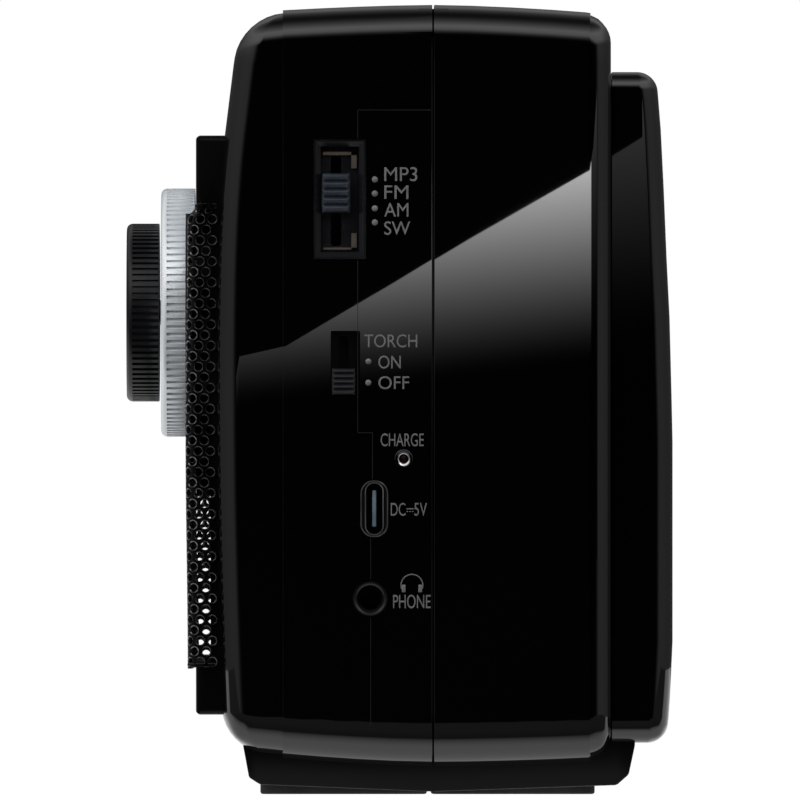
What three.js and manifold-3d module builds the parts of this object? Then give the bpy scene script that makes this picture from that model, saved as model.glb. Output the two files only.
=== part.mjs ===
// Portable shortwave receiver with a wrap-round speaker grille, a coaxial tuning and volume knob,
// side switches and sockets, a rear housing and a telescopic antenna that stows in the top rear edge.
// Millimetres. X is the width (+X the side with the switches), Y the depth (front at -Y), Z up.

import * as THREE from 'three';
import { mergeVertices } from 'three/addons/utils/BufferGeometryUtils.js';
import Module from 'manifold-3d';

const wasm = await Module();
wasm.setup();

// ---------------------------------------------------------------- driving dimensions

const GAP = 0.3; // clearance between neighbouring pieces
const WALL = 2.5; // cabinet wall
const HALF_WIDTH = 98; // to the raised belt's side face
const BELT_RISE = 0.5; // how far the belt stands above the rest of the cabinet
const BELT_FRONT_Y = -19.7;
const BELT_REAR_Y = 32.4;
const PARTING_Y = 5.8; // front and rear shells meet here
const EDGE_RADIUS = 5.2; // long edges, as seen from the front
const CORNER_RADIUS = 3.5; // upright edges, as seen from above

// Cabinet side outline, [Y, Z]
const FRONT_LOW = [-30.0, 12.7];
const FRONT_BULGE = [-32.9, 71.6];
const FRONT_HIGH = [-29.6, 112.0];
const SHOULDER = [-27.7, 127.3];
const SHOULDER_BEND = [-27.1, 132.4];
const TOP_FRONT = [BELT_FRONT_Y, 132.8];
const TOP_APEX = [PARTING_Y, 133.7];
const TOP_REAR = [31.4, 132.5];
const REAR_CORNER_TOP = [36.0, 132.4];
const REAR_HIGH = [36.0, 128.0];
const REAR_LOW = [36.0, 10.0];
const REAR_CORNER_LOW = [36.0, 6.1];
const BOTTOM_REAR = [31.3, 6.1];
const BOTTOM_APEX = [PARTING_Y, 5.4];
const BOTTOM_FRONT = [BELT_FRONT_Y, 6.8];
const FRONT_CORNER_LOW = [-29.2, 7.3];
const CABINET_TOP = 134.2;
const CABINET_BOTTOM = 4.9;

// Plinth and feet
const PLINTH_HALF_WIDTH = 92;
const FOOT_HALF_WIDTH = 7;
const FOOT_X = 78;
const FOOT_HEIGHT = 2.3;
const FRONT_FOOT_SPAN = [-23.6, 4.75];
const REAR_FOOT_SPAN = [5.4, 33.3];

// Front panel and grille
const PANEL_FRONT_Y = -34.5;
const PANEL_LOW_Z = 13.6;
const PANEL_HIGH_Z = 112.0;
const PANEL_HALF_WIDTH = 94.5;
const GRILLE_LOW_Z = 21.6;
const GRILLE_HIGH_Z = 100.5;
const GRILLE_HALF_WIDTH = 94.8;
const GRILLE_SHEET = 0.8;
const GRILLE_BACK_Y = -31.9;
const GRILLE_SEAT = 1.1; // step in the panel's sides that the grille's walls sit in

// Knobs, on one axis along Y
const KNOB_X = 58;
const KNOB_Z = 82;
const KNOB_RADIUS = 15.2;
const KNOB_FRONT_Y = -46.5;
const KNOB_BACK_Y = -40.9;
const RING_RADIUS = 21.2;
const RING_FRONT_Y = -40.6;
const RING_BACK_Y = -34.8;
const KNOB_CHAMFER = 1.0;
const SPINDLE_RADIUS = 4.0;
const SPINDLE_BORE = 2.4;
const VOLUME_SHAFT_RADIUS = 2.1;
const PULLEY_RADIUS = 5;
const GRILLE_CUTOUT_RADIUS = 23.5;

// Tuning drive
const DRUM_X = 36;
const DRUM_Z = 49;
const DRUM_RADIUS = 24;
const DRUM_FRONT_Y = -25.5;
const DRUM_THICKNESS = 3;

// Dial
const WINDOW_SPAN_X = [-86, 28];
const WINDOW_SPAN_Z = [102.2, 110.4];
const POINTER_X = (WINDOW_SPAN_X[0] + WINDOW_SPAN_X[1]) / 2;
const RAIL_Y = -26.2;
const RAIL_Z = 103;
const RAIL_RADIUS = 1.0;

// Speaker
const SPEAKER_X = -40;
const SPEAKER_Z = 60;
const SPEAKER_RADIUS = 38.5;

// Side controls on the +X face, [Y, Z]
const BAND_BEZEL = { y: [-14.5, -5.6], z: [91.0, 111.3] };
const BAND_OPENING = { y: [-13.3, -7.1], z: [92.4, 109.2] };
const BAND_SLIDER = { y: [-13.0, -8.4], z: [98.8, 105.5] };
const TORCH_OPENING = { y: [-11.6, -6.6], z: [67.5, 78.8] };
const TORCH_SLIDER = { y: [-11.35, -7.5], z: [67.9, 72.4] };
const LED_CENTRE = [0.8, 57.1];
const LED_RING_RADIUS = 1.65;
const USB_CENTRE = [-4.2, 48.6];
const USB_SHELL = [3.2, 9.0];
const JACK_CENTRE = [-4.9, 33.3];
const JACK_COLLAR_RADIUS = 3.1;
const JACK_HOLE_RADIUS = 1.85;
const SIDE_BOARD_X = 84;

// Buttons in the lower strip
const BUTTON_Z = 17.6;
const BUTTON_WIDTH = 9.0;
const BUTTON_HEIGHT = 4.6;
const BUTTON_PITCH = 13;
const BUTTON_NAMES = ['mode_button', 'back_button', 'play_button', 'next_button', 'repeat_button'];

// Rear cover, battery and antenna
const COVER_HALF_WIDTH = 94;
const COVER_FRONT_Y = 36.3;
const COVER_REAR_Y = 46.5;
const COVER_LOW_Z = 8.8;
const COVER_HIGH_Z = 122.8;
const COVER_WALL = 2.0;
const DOOR_HALF_WIDTH = 36;
const DOOR_SPAN_Z = [22, 60];
const ANTENNA_Y = 32;
const ANTENNA_Z = 129.2;
const ANTENNA_PIVOT_X = 82;
const ANTENNA_LENGTH = 162;
const ANTENNA_NEST = 2.2; // how much further in each inner tube starts
const ANTENNA_POCKET = { x: [-120, 90], y: 28, z: 124.4 }; // open at the -X end
const ANTENNA_TUBE_RADII = [3.4, 2.55, 1.7, 0.9];
const ANTENNA_TUBE_WALL = 0.5;

// Torch on the -X side
const TORCH_CENTRE = [-8, 96];
const TORCH_RADIUS = 11;

// ---------------------------------------------------------------- solids

function toSolid(geometry) {
  const bare = geometry.clone();
  bare.deleteAttribute('normal');
  bare.deleteAttribute('uv');
  const merged = mergeVertices(bare, 1e-4);
  const position = merged.attributes.position.array;
  const index = merged.index.array;
  const triangles = [];
  let volume = 0;
  for (let i = 0; i < index.length; i += 3) {
    const [a, b, c] = [index[i], index[i + 1], index[i + 2]];
    if (a === b || b === c || c === a) continue;
    triangles.push(a, b, c);
    const [p, q, r] = [a, b, c].map((k) => new THREE.Vector3().fromArray(position, k * 3));
    volume += p.dot(q.cross(r));
  }
  if (volume < 0) triangles.reverse();
  return new wasm.Manifold(new wasm.Mesh({
    numProp: 3,
    vertProperties: new Float32Array(position),
    triVerts: new Uint32Array(triangles),
  }));
}

function toGeometry(solid) {
  const mesh = solid.getMesh();
  const geometry = new THREE.BufferGeometry();
  geometry.setAttribute('position', new THREE.BufferAttribute(mesh.vertProperties, 3));
  geometry.setIndex(new THREE.BufferAttribute(mesh.triVerts, 1));
  geometry.computeVertexNormals();
  return geometry;
}

// An outline extruded along one axis. The outline is drawn in [Y, Z], [X, Z] or [X, Y].
const AXIS_FRAMES = {
  x: new THREE.Matrix4().makeBasis(
    new THREE.Vector3(0, 1, 0), new THREE.Vector3(0, 0, 1), new THREE.Vector3(1, 0, 0)),
  y: new THREE.Matrix4().makeBasis(
    new THREE.Vector3(1, 0, 0), new THREE.Vector3(0, 0, 1), new THREE.Vector3(0, -1, 0)),
  z: new THREE.Matrix4(),
};

function prism(axis, shape, low, high, curveSegments = 8) {
  const geometry = new THREE.ExtrudeGeometry(shape, {
    depth: high - low,
    bevelEnabled: false,
    curveSegments,
  });
  geometry.translate(0, 0, axis === 'y' ? -high : low);
  geometry.applyMatrix4(AXIS_FRAMES[axis]);
  return toSolid(geometry);
}

function box(x, y, z) {
  const geometry = new THREE.BoxGeometry(x[1] - x[0], y[1] - y[0], z[1] - z[0]);
  geometry.translate((x[0] + x[1]) / 2, (y[0] + y[1]) / 2, (z[0] + z[1]) / 2);
  return toSolid(geometry);
}

// A profile of [radius, distance] turned about an axis through `centre`, the two other coordinates.
function turned(axis, centre, profile, segments = 32) {
  const points = profile.map(([radius, along]) => new THREE.Vector2(radius, along));
  const geometry = new THREE.LatheGeometry(points, segments);
  if (axis === 'x') {
    geometry.rotateZ(-Math.PI / 2);
    geometry.translate(0, centre[0], centre[1]);
  } else if (axis === 'y') {
    geometry.translate(centre[0], 0, centre[1]);
  } else {
    geometry.rotateX(Math.PI / 2);
    geometry.translate(centre[0], centre[1], 0);
  }
  return toSolid(geometry);
}

function rod(axis, centre, radius, low, high, segments = 24) {
  return turned(axis, centre, [[0, low], [radius, low], [radius, high], [0, high]], segments);
}

function roundedRect(u, v, radius) {
  const shape = new THREE.Shape();
  shape.moveTo(u[0] + radius, v[0]);
  shape.lineTo(u[1] - radius, v[0]);
  shape.absarc(u[1] - radius, v[0] + radius, radius, -Math.PI / 2, 0, false);
  shape.lineTo(u[1], v[1] - radius);
  shape.absarc(u[1] - radius, v[1] - radius, radius, 0, Math.PI / 2, false);
  shape.lineTo(u[0] + radius, v[1]);
  shape.absarc(u[0] + radius, v[1] - radius, radius, Math.PI / 2, Math.PI, false);
  shape.lineTo(u[0], v[0] + radius);
  shape.absarc(u[0] + radius, v[0] + radius, radius, Math.PI, 1.5 * Math.PI, false);
  return shape;
}

function outline(points) {
  return new THREE.Shape(points.map(([u, v]) => new THREE.Vector2(u, v)));
}

function union(solids) {
  return solids.reduce((whole, solid) => whole.add(solid));
}

function cut(solid, tools) {
  return tools.reduce((rest, tool) => rest.subtract(tool), solid);
}

function centred(middle, length) {
  return [middle - length / 2, middle + length / 2];
}

function grown(span, by) {
  return [span[0] - by, span[1] + by];
}

// ---------------------------------------------------------------- materials

function material(color, roughness, metalness = 0) {
  return new THREE.MeshStandardMaterial({ color, roughness, metalness });
}

const FINISH = {
  cabinet: material(0x0a0a0c, 0.12),
  panel: material(0x101014, 0.35),
  grille: material(0x0c0c0e, 0.4, 0.6),
  silver: material(0xd8dde3, 0.3, 0.9),
  knob: material(0x1b1b20, 0.4),
  clear: material(0xbcc4c8, 0.05),
  scale: material(0xe8e2cf, 0.6),
  red: material(0xc02418, 0.45),
  steel: material(0xb4b7ba, 0.35, 0.9),
  slider: material(0x6b7683, 0.5),
  board: material(0x1d5a34, 0.6),
  moulded: material(0x222226, 0.6),
  cone: material(0x2b2723, 0.9),
  ferrite: material(0x3a3a3c, 0.8),
  copper: material(0xa85b30, 0.4, 0.8),
  battery: material(0x2e5f9a, 0.5),
  brass: material(0xb99b52, 0.35, 0.9),
  rubber: material(0x141414, 0.9),
};

const receiver = new THREE.Group();

function addPiece(name, solid, finish) {
  const mesh = new THREE.Mesh(toGeometry(solid), FINISH[finish].clone());
  mesh.name = name;
  receiver.add(mesh);
}

// ---------------------------------------------------------------- cabinet outlines

function cabinetProfile(inset) {
  const shape = new THREE.Shape();
  shape.moveTo(FRONT_LOW[0] + inset, FRONT_LOW[1]);
  shape.quadraticCurveTo(FRONT_BULGE[0] + inset, FRONT_BULGE[1], FRONT_HIGH[0] + inset, FRONT_HIGH[1]);
  shape.lineTo(SHOULDER[0] + inset, SHOULDER[1]);
  shape.quadraticCurveTo(
    SHOULDER_BEND[0] + inset, SHOULDER_BEND[1] - inset, TOP_FRONT[0], TOP_FRONT[1] - inset);
  shape.lineTo(TOP_APEX[0], TOP_APEX[1] - inset);
  shape.lineTo(TOP_REAR[0], TOP_REAR[1] - inset);
  shape.quadraticCurveTo(
    REAR_CORNER_TOP[0] - inset, REAR_CORNER_TOP[1] - inset, REAR_HIGH[0] - inset, REAR_HIGH[1] - inset);
  shape.lineTo(REAR_LOW[0] - inset, REAR_LOW[1] + inset);
  shape.quadraticCurveTo(
    REAR_CORNER_LOW[0] - inset, REAR_CORNER_LOW[1] + inset, BOTTOM_REAR[0], BOTTOM_REAR[1] + inset);
  shape.lineTo(BOTTOM_APEX[0], BOTTOM_APEX[1] + inset);
  shape.lineTo(BOTTOM_FRONT[0], BOTTOM_FRONT[1] + inset);
  shape.quadraticCurveTo(
    FRONT_CORNER_LOW[0] + inset, FRONT_CORNER_LOW[1] + inset, FRONT_LOW[0] + inset, FRONT_LOW[1]);
  return shape;
}

function cabinetSolid(inset) {
  const half = HALF_WIDTH - BELT_RISE - inset;
  const side = prism('x', cabinetProfile(inset), -half, half, 10);
  const frontView = roundedRect(
    [-half, half],
    [CABINET_BOTTOM + BELT_RISE + inset, CABINET_TOP - BELT_RISE - inset],
    EDGE_RADIUS - inset / 2);
  const plan = roundedRect([-half, half], [FRONT_BULGE[0] + inset, REAR_HIGH[0] - inset], CORNER_RADIUS);
  return side
    .intersect(prism('y', frontView, FRONT_BULGE[0] - 2, REAR_HIGH[0] + 2))
    .intersect(prism('z', plan, 0, CABINET_TOP + 2));
}

// The belt runs round the cabinet's top, sides and bottom between two steps.
function beltSolid() {
  const top = CABINET_TOP;
  const low = CABINET_BOTTOM;
  const side = outline([
    [BELT_FRONT_Y, low + 1.4], [PARTING_Y, low], [BELT_REAR_Y, low + 0.8],
    [BELT_REAR_Y, top - 1.3], [PARTING_Y, top], [BELT_FRONT_Y, top - 0.9],
  ]);
  const frontView = roundedRect([-HALF_WIDTH, HALF_WIDTH], [low, top], EDGE_RADIUS + BELT_RISE);
  return prism('x', side, -HALF_WIDTH, HALF_WIDTH)
    .intersect(prism('y', frontView, BELT_FRONT_Y - 1, BELT_REAR_Y + 1));
}

// The plinth below the cabinet, which reaches back under the rear cover.
function plinthSolid() {
  const shape = new THREE.Shape();
  shape.moveTo(-26.5, 8.6);
  shape.lineTo(-25.5, 2.9);
  shape.quadraticCurveTo(-25.2, 1.8, -23.6, 1.7);
  shape.lineTo(PARTING_Y, 0.5);
  shape.lineTo(37.0, 1.6);
  shape.quadraticCurveTo(38.7, 1.8, 39.05, 3.4);
  shape.lineTo(40.1, 8.3);
  shape.lineTo(35.0, 8.3);
  shape.lineTo(35.0, 12.0);
  shape.lineTo(-25.0, 12.0);
  return prism('x', shape, -PLINTH_HALF_WIDTH, PLINTH_HALF_WIDTH, 5);
}

const FEET = [
  ['foot_front_left', -FOOT_X, FRONT_FOOT_SPAN],
  ['foot_front_right', FOOT_X, FRONT_FOOT_SPAN],
  ['foot_rear_left', -FOOT_X, REAR_FOOT_SPAN],
  ['foot_rear_right', FOOT_X, REAR_FOOT_SPAN],
];

const footPockets = FEET.map(([, x, span]) => box(
  centred(x, 2 * (FOOT_HALF_WIDTH + GAP)), grown(span, GAP), [-1, FOOT_HEIGHT + GAP]));
const plinthHollow = box(grown([-PLINTH_HALF_WIDTH, PLINTH_HALF_WIDTH], -4), [-21, 33], [4.4, 11]);
const cabinetOuter = union([cabinetSolid(0), beltSolid(), plinthSolid()]);
const cabinetHollow = cabinetSolid(WALL).add(plinthHollow);

function shellHalf(yLow, yHigh) {
  const slab = box([-120, 120], [yLow, yHigh], [-5, 150]);
  return cut(cabinetOuter.intersect(slab), [cabinetHollow, ...footPockets]);
}

// ---------------------------------------------------------------- front shell and its openings

// A slot through the +X wall, from the [Y, Z] outline of what sits in it.
function sideSlot(y, z, radius) {
  return prism('x', roundedRect(y, z, radius), HALF_WIDTH - WALL - 5, HALF_WIDTH + 2);
}

function sideHole(centre, radius) {
  return rod('x', centre, radius, HALF_WIDTH - WALL - 5, HALF_WIDTH + 2);
}

function makeFrontShell() {
  const windowHole = box([WINDOW_SPAN_X[0] - 2, WINDOW_SPAN_X[1] + 2], [-36, -26], [100.2, 110.8]);
  const buttonHole = box(centred(0, BUTTON_PITCH * 5), [-36, -25], centred(BUTTON_Z, BUTTON_HEIGHT + 2));
  const openings = [
    windowHole,
    buttonHole,
    rod('y', [SPEAKER_X, SPEAKER_Z], SPEAKER_RADIUS - 3, -36, -26, 48),
    rod('y', [KNOB_X, KNOB_Z], SPINDLE_RADIUS + 1, -36, -26),
    sideSlot(grown(BAND_BEZEL.y, GAP), grown(BAND_BEZEL.z, GAP), 0.8),
    sideSlot(TORCH_OPENING.y, TORCH_OPENING.z, 0.4),
    sideSlot(
      centred(USB_CENTRE[0], USB_SHELL[0] + 2 * GAP), centred(USB_CENTRE[1], USB_SHELL[1] + 2 * GAP), 1.8),
    sideHole(JACK_CENTRE, JACK_COLLAR_RADIUS + GAP),
    sideHole(LED_CENTRE, LED_RING_RADIUS + GAP),
    rod('x', TORCH_CENTRE, TORCH_RADIUS + GAP, -HALF_WIDTH - 2, -HALF_WIDTH + WALL + 5, 40),
    box([-HALF_WIDTH - 2, -HALF_WIDTH + WALL + 5], [-14.3, -1.7], [53.7, 56.3]),
  ];
  return cut(shellHalf(-40, PARTING_Y - GAP / 2), openings);
}

// ---------------------------------------------------------------- rear shell, cover and battery

function makeRearShell() {
  const pocket = ANTENNA_POCKET;
  const pocketWalls = box(grown(pocket.x, 2), [pocket.y - 2, REAR_HIGH[0]], [pocket.z - 2, CABINET_TOP])
    .intersect(cabinetOuter);
  const batteryHole = box(grown([-DOOR_HALF_WIDTH, DOOR_HALF_WIDTH], 2), [30, 40], grown(DOOR_SPAN_Z, 2));
  return cut(shellHalf(PARTING_Y + GAP / 2, 45).add(pocketWalls), [
    box(pocket.x, [pocket.y, 50], [pocket.z, 150]),
    batteryHole,
  ]);
}

function coverProfile(inset) {
  const shape = new THREE.Shape();
  const front = COVER_FRONT_Y - (inset > 0 ? 1 : 0);
  const low = COVER_LOW_Z + inset;
  const high = COVER_HIGH_Z - inset;
  shape.moveTo(front, low);
  shape.lineTo(42.6, low);
  shape.quadraticCurveTo(45.8 - inset, low, 46.0 - inset, 12.5 + inset);
  shape.lineTo(COVER_REAR_Y - inset, 26);
  shape.lineTo(COVER_REAR_Y - inset, 61);
  shape.quadraticCurveTo(46.3 - inset, 90, 44.1 - inset, 118.5 - inset);
  shape.quadraticCurveTo(43.9 - inset, high, 40.6, high);
  shape.lineTo(front, high);
  return shape;
}

const COVER_SCREWS = [[-84, 112], [84, 112], [-84, 20], [84, 20]];
const SCREW_HEAD_RADIUS = 2.7;
const SCREW_HEAD_Y = 42.6;

function makeRearCover() {
  const half = COVER_HALF_WIDTH;
  const plan = (inset) => roundedRect([-half + inset, half - inset], [20, COVER_REAR_Y - inset], 3.3);
  const outer = prism('x', coverProfile(0), -half, half).intersect(prism('z', plan(0), 0, 130));
  const inner = prism('x', coverProfile(COVER_WALL), -half + COVER_WALL, half - COVER_WALL)
    .intersect(prism('z', plan(COVER_WALL), 0, 130));
  const doorHole = box(
    grown([-DOOR_HALF_WIDTH, DOOR_HALF_WIDTH], GAP), [40, 50], grown(DOOR_SPAN_Z, GAP));
  const bosses = COVER_SCREWS.map((place) => rod('y', place, 4.6, COVER_FRONT_Y, COVER_REAR_Y, 16));
  const screwHoles = COVER_SCREWS.flatMap((place) => [
    rod('y', place, SCREW_HEAD_RADIUS + GAP, SCREW_HEAD_Y - 1.9, 50, 20),
    rod('y', place, 1.8, 30, 50, 10),
  ]);
  return cut(outer.subtract(inner).add(union(bosses).intersect(outer)), [doorHole, ...screwHoles]);
}

function makeBatteryDoor() {
  const leaf = box(
    [-DOOR_HALF_WIDTH, DOOR_HALF_WIDTH], [COVER_REAR_Y - COVER_WALL, COVER_REAR_Y], DOOR_SPAN_Z);
  const latch = box([-6, 6], [COVER_REAR_Y - 3.6, COVER_REAR_Y - 1], [DOOR_SPAN_Z[1] - 3, DOOR_SPAN_Z[1]]);
  const thumbGroove = box([-7, 7], [COVER_REAR_Y - 0.6, 50], [DOOR_SPAN_Z[1] - 4.2, DOOR_SPAN_Z[1] - 2.8]);
  return leaf.add(latch).subtract(thumbGroove);
}

function makeBatteryTray() {
  const x = grown([-DOOR_HALF_WIDTH, DOOR_HALF_WIDTH], 1.6);
  const z = grown(DOOR_SPAN_Z, 1.6);
  const outer = box(x, [18, 36], z);
  return outer.subtract(box(grown(x, -1.5), [19.5, 40], grown(z, -1.5)));
}

function coverScrew(place) {
  const head = rod('y', place, SCREW_HEAD_RADIUS, SCREW_HEAD_Y - 1.6, SCREW_HEAD_Y, 18);
  const shank = rod('y', place, 1.4, 37.4, SCREW_HEAD_Y - 1, 10);
  const crossArms = [
    box(centred(place[0], 3.4), [SCREW_HEAD_Y - 0.9, SCREW_HEAD_Y + 1], centred(place[1], 0.7)),
    box(centred(place[0], 0.7), [SCREW_HEAD_Y - 0.9, SCREW_HEAD_Y + 1], centred(place[1], 3.4)),
  ];
  return cut(head.add(shank), crossArms);
}

// ---------------------------------------------------------------- front panel, grille and dial

function makeFrontPanel() {
  const shape = new THREE.Shape();
  const corner = 0.8;
  shape.moveTo(FRONT_LOW[0] - GAP - 0.3, PANEL_LOW_Z);
  shape.quadraticCurveTo(
    FRONT_BULGE[0] - GAP, FRONT_BULGE[1], FRONT_HIGH[0] - GAP, PANEL_HIGH_Z);
  shape.lineTo(PANEL_FRONT_Y + corner, PANEL_HIGH_Z);
  shape.quadraticCurveTo(PANEL_FRONT_Y, PANEL_HIGH_Z, PANEL_FRONT_Y, PANEL_HIGH_Z - corner);
  shape.lineTo(PANEL_FRONT_Y, PANEL_LOW_Z + corner);
  shape.quadraticCurveTo(PANEL_FRONT_Y, PANEL_LOW_Z, PANEL_FRONT_Y + corner, PANEL_LOW_Z);
  const block = prism('x', shape, -PANEL_HALF_WIDTH, PANEL_HALF_WIDTH, 10);
  const seatZ = grown([GRILLE_LOW_Z, GRILLE_HIGH_Z], GAP);
  const seats = [-1, 1].map((side) => {
    const x = [side * (PANEL_HALF_WIDTH - GRILLE_SEAT), side * (PANEL_HALF_WIDTH + 5)];
    return box(x.sort((a, b) => a - b), [-40, -20], seatZ);
  });
  const buttonHoles = BUTTON_NAMES.map((_, i) => box(
    centred((i - 2) * BUTTON_PITCH, BUTTON_WIDTH + 2 * GAP), [-40, -20],
    centred(BUTTON_Z, BUTTON_HEIGHT + 2 * GAP)));
  return cut(block, [
    ...seats,
    ...buttonHoles,
    box(WINDOW_SPAN_X, [-40, -20], WINDOW_SPAN_Z),
    box(WINDOW_SPAN_X, [-33, -20], [100.6, WINDOW_SPAN_Z[1]]),
    rod('y', [SPEAKER_X, SPEAKER_Z], SPEAKER_RADIUS - 3, -40, -20, 48),
    rod('y', [KNOB_X, KNOB_Z], SPINDLE_RADIUS + 1, -40, -20),
  ]);
}

// Pressed sheet with a slightly convex face and side walls that wrap round to the cabinet.
function grilleProfile(inset) {
  const shape = new THREE.Shape();
  shape.moveTo(GRILLE_BACK_Y + inset, GRILLE_LOW_Z + inset);
  shape.lineTo(GRILLE_BACK_Y + inset, GRILLE_HIGH_Z - inset);
  shape.lineTo(-34.9 + inset, GRILLE_HIGH_Z - inset);
  shape.quadraticCurveTo(-35.8 + inset, GRILLE_HIGH_Z - inset, -35.8 + inset, GRILLE_HIGH_Z - 1.4);
  shape.quadraticCurveTo(-36.9 + inset, 60, -35.5 + inset, GRILLE_LOW_Z + 1.4);
  shape.quadraticCurveTo(-35.5 + inset, GRILLE_LOW_Z + inset, -34.6 + inset, GRILLE_LOW_Z + inset);
  return shape;
}

function makeGrille() {
  const half = GRILLE_HALF_WIDTH;
  const plan = (inset) => roundedRect([-half + inset, half - inset], [-36.5 + inset, -20], 1.8 - inset);
  const outer = prism('x', grilleProfile(0), -half, half, 12).intersect(prism('z', plan(0), 0, 120));
  const inner = prism('x', grilleProfile(GRILLE_SHEET), -half + GRILLE_SHEET, half - GRILLE_SHEET, 12)
    .intersect(prism('z', plan(GRILLE_SHEET), 0, 120));
  // Only the face and the two side walls are sheet; the back, top and bottom stay open.
  const backOpening = box([-half + GRILLE_SHEET, half - GRILLE_SHEET], [-34.8, -20], [0, 120]);
  const knobCutout = rod('y', [KNOB_X, KNOB_Z], GRILLE_CUTOUT_RADIUS, -40, -20, 56);
  return cut(outer, [inner, backOpening, knobCutout]);
}

function makePointer() {
  const foot = box(centred(POINTER_X, 1.6), [-32.7, RAIL_Y], [101.0, 101.8]);
  const needle = box(centred(POINTER_X, 0.8), [-32.7, -32.2], [101.0, 109.8]);
  const carriage = box(centred(POINTER_X, 10), [-27.6, -24.9], [100.6, 105.2]);
  return union([foot, needle, carriage])
    .subtract(rod('x', [RAIL_Y, RAIL_Z], RAIL_RADIUS + GAP, -100, 100, 16));
}

function makePointerRail() {
  const ends = [WINDOW_SPAN_X[0] - 1, WINDOW_SPAN_X[1] + 1];
  const rail = rod('x', [RAIL_Y, RAIL_Z], RAIL_RADIUS, ends[0], ends[1], 16);
  const posts = ends.map((x) => box(centred(x, 3), grown([RAIL_Y, RAIL_Y], 1.4), grown([RAIL_Z, RAIL_Z], 2)));
  return union([rail, ...posts]);
}

// ---------------------------------------------------------------- knobs and tuning drive

function makeVolumeKnob() {
  const profile = [
    [0, KNOB_FRONT_Y], [KNOB_RADIUS - KNOB_CHAMFER, KNOB_FRONT_Y],
    [KNOB_RADIUS, KNOB_FRONT_Y + KNOB_CHAMFER], [KNOB_RADIUS, KNOB_BACK_Y], [0, KNOB_BACK_Y],
  ];
  const indicator = box(centred(KNOB_X, 1.2), [-50, KNOB_FRONT_Y + 0.4], [KNOB_Z + 7, KNOB_Z + 13]);
  return turned('y', [KNOB_X, KNOB_Z], profile, 60)
    .subtract(rod('y', [KNOB_X, KNOB_Z], VOLUME_SHAFT_RADIUS + 0.2, -43.5, -30))
    .subtract(indicator);
}

function makeTuningRing() {
  const profile = [
    [SPINDLE_RADIUS + GAP, RING_FRONT_Y], [RING_RADIUS - KNOB_CHAMFER, RING_FRONT_Y],
    [RING_RADIUS, RING_FRONT_Y + KNOB_CHAMFER], [RING_RADIUS, RING_BACK_Y],
    [SPINDLE_RADIUS + GAP, RING_BACK_Y], [SPINDLE_RADIUS + GAP, RING_FRONT_Y],
  ];
  return turned('y', [KNOB_X, KNOB_Z], profile, 64);
}

// The hollow tuning spindle with its cord pulley; the volume shaft runs inside it.
function makeTuningSpindle() {
  const profile = [
    [SPINDLE_BORE, -40.4], [SPINDLE_RADIUS, -40.4], [SPINDLE_RADIUS, -25.9],
    [PULLEY_RADIUS + 1, -25.5], [PULLEY_RADIUS, -24.9], [PULLEY_RADIUS, -23.1],
    [PULLEY_RADIUS + 1, -22.5], [SPINDLE_BORE, -22.5], [SPINDLE_BORE, -40.4],
  ];
  return turned('y', [KNOB_X, KNOB_Z], profile, 28);
}

function makeDrum() {
  const back = DRUM_FRONT_Y + DRUM_THICKNESS;
  const groove = (DRUM_FRONT_Y + back) / 2;
  const rim = turned('y', [DRUM_X, DRUM_Z], [
    [0, DRUM_FRONT_Y], [DRUM_RADIUS, DRUM_FRONT_Y], [DRUM_RADIUS - 0.9, groove],
    [DRUM_RADIUS, back], [4, back], [4, back + 1.6], [0, back + 1.6],
  ], 36);
  const lightening = [0, 1, 2, 3].map((i) => {
    const angle = (i + 0.5) * Math.PI / 2;
    const centre = [DRUM_X + 13.5 * Math.cos(angle), DRUM_Z + 13.5 * Math.sin(angle)];
    return rod('y', centre, 5.5, -30, -20, 14);
  });
  return cut(rim, lightening);
}

// ---------------------------------------------------------------- speaker

function makeSpeakerFrame() {
  const profile = [
    [34.5, -27.6], [SPEAKER_RADIUS, -27.6], [SPEAKER_RADIUS, -26], [35.5, -25.8],
    [20, -9], [18.5, -4], [14, -4], [14, -6.5], [17.5, -9.5], [33.5, -26], [34.5, -27.6],
  ];
  const windows = [0, 1, 2, 3, 4, 5].map((i) => {
    const angle = i * Math.PI / 3;
    const centre = [SPEAKER_X + 28 * Math.cos(angle), SPEAKER_Z + 28 * Math.sin(angle)];
    return rod('y', centre, 5, -24, 0, 12);
  });
  return cut(turned('y', [SPEAKER_X, SPEAKER_Z], profile, 36), windows);
}

function makeSpeakerCone() {
  const profile = [
    [0, -16.6], [5, -15.6], [9, -12.9], [26, -24.6], [29, -26.6], [33.6, -26.9],
    [32.6, -26.2], [29, -25.7], [26.6, -23.7], [9, -11.9], [8.6, -7], [0, -7],
  ];
  return turned('y', [SPEAKER_X, SPEAKER_Z], profile, 32);
}

function makeSpeakerMagnet() {
  const profile = [[0, -3.7], [21, -3.7], [21, 6.5], [17, 8.3], [0, 8.3]];
  return turned('y', [SPEAKER_X, SPEAKER_Z], profile, 28);
}

// ---------------------------------------------------------------- side switches and sockets

const FACE_X = HALF_WIDTH;

function makeBandBezel() {
  const outer = prism('x', roundedRect(BAND_BEZEL.y, BAND_BEZEL.z, 0.6), FACE_X - WALL, FACE_X + 0.2, 4);
  return outer.subtract(
    prism('x', roundedRect(BAND_OPENING.y, BAND_OPENING.z, 0.3), FACE_X - 10, FACE_X + 5, 3));
}

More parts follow.
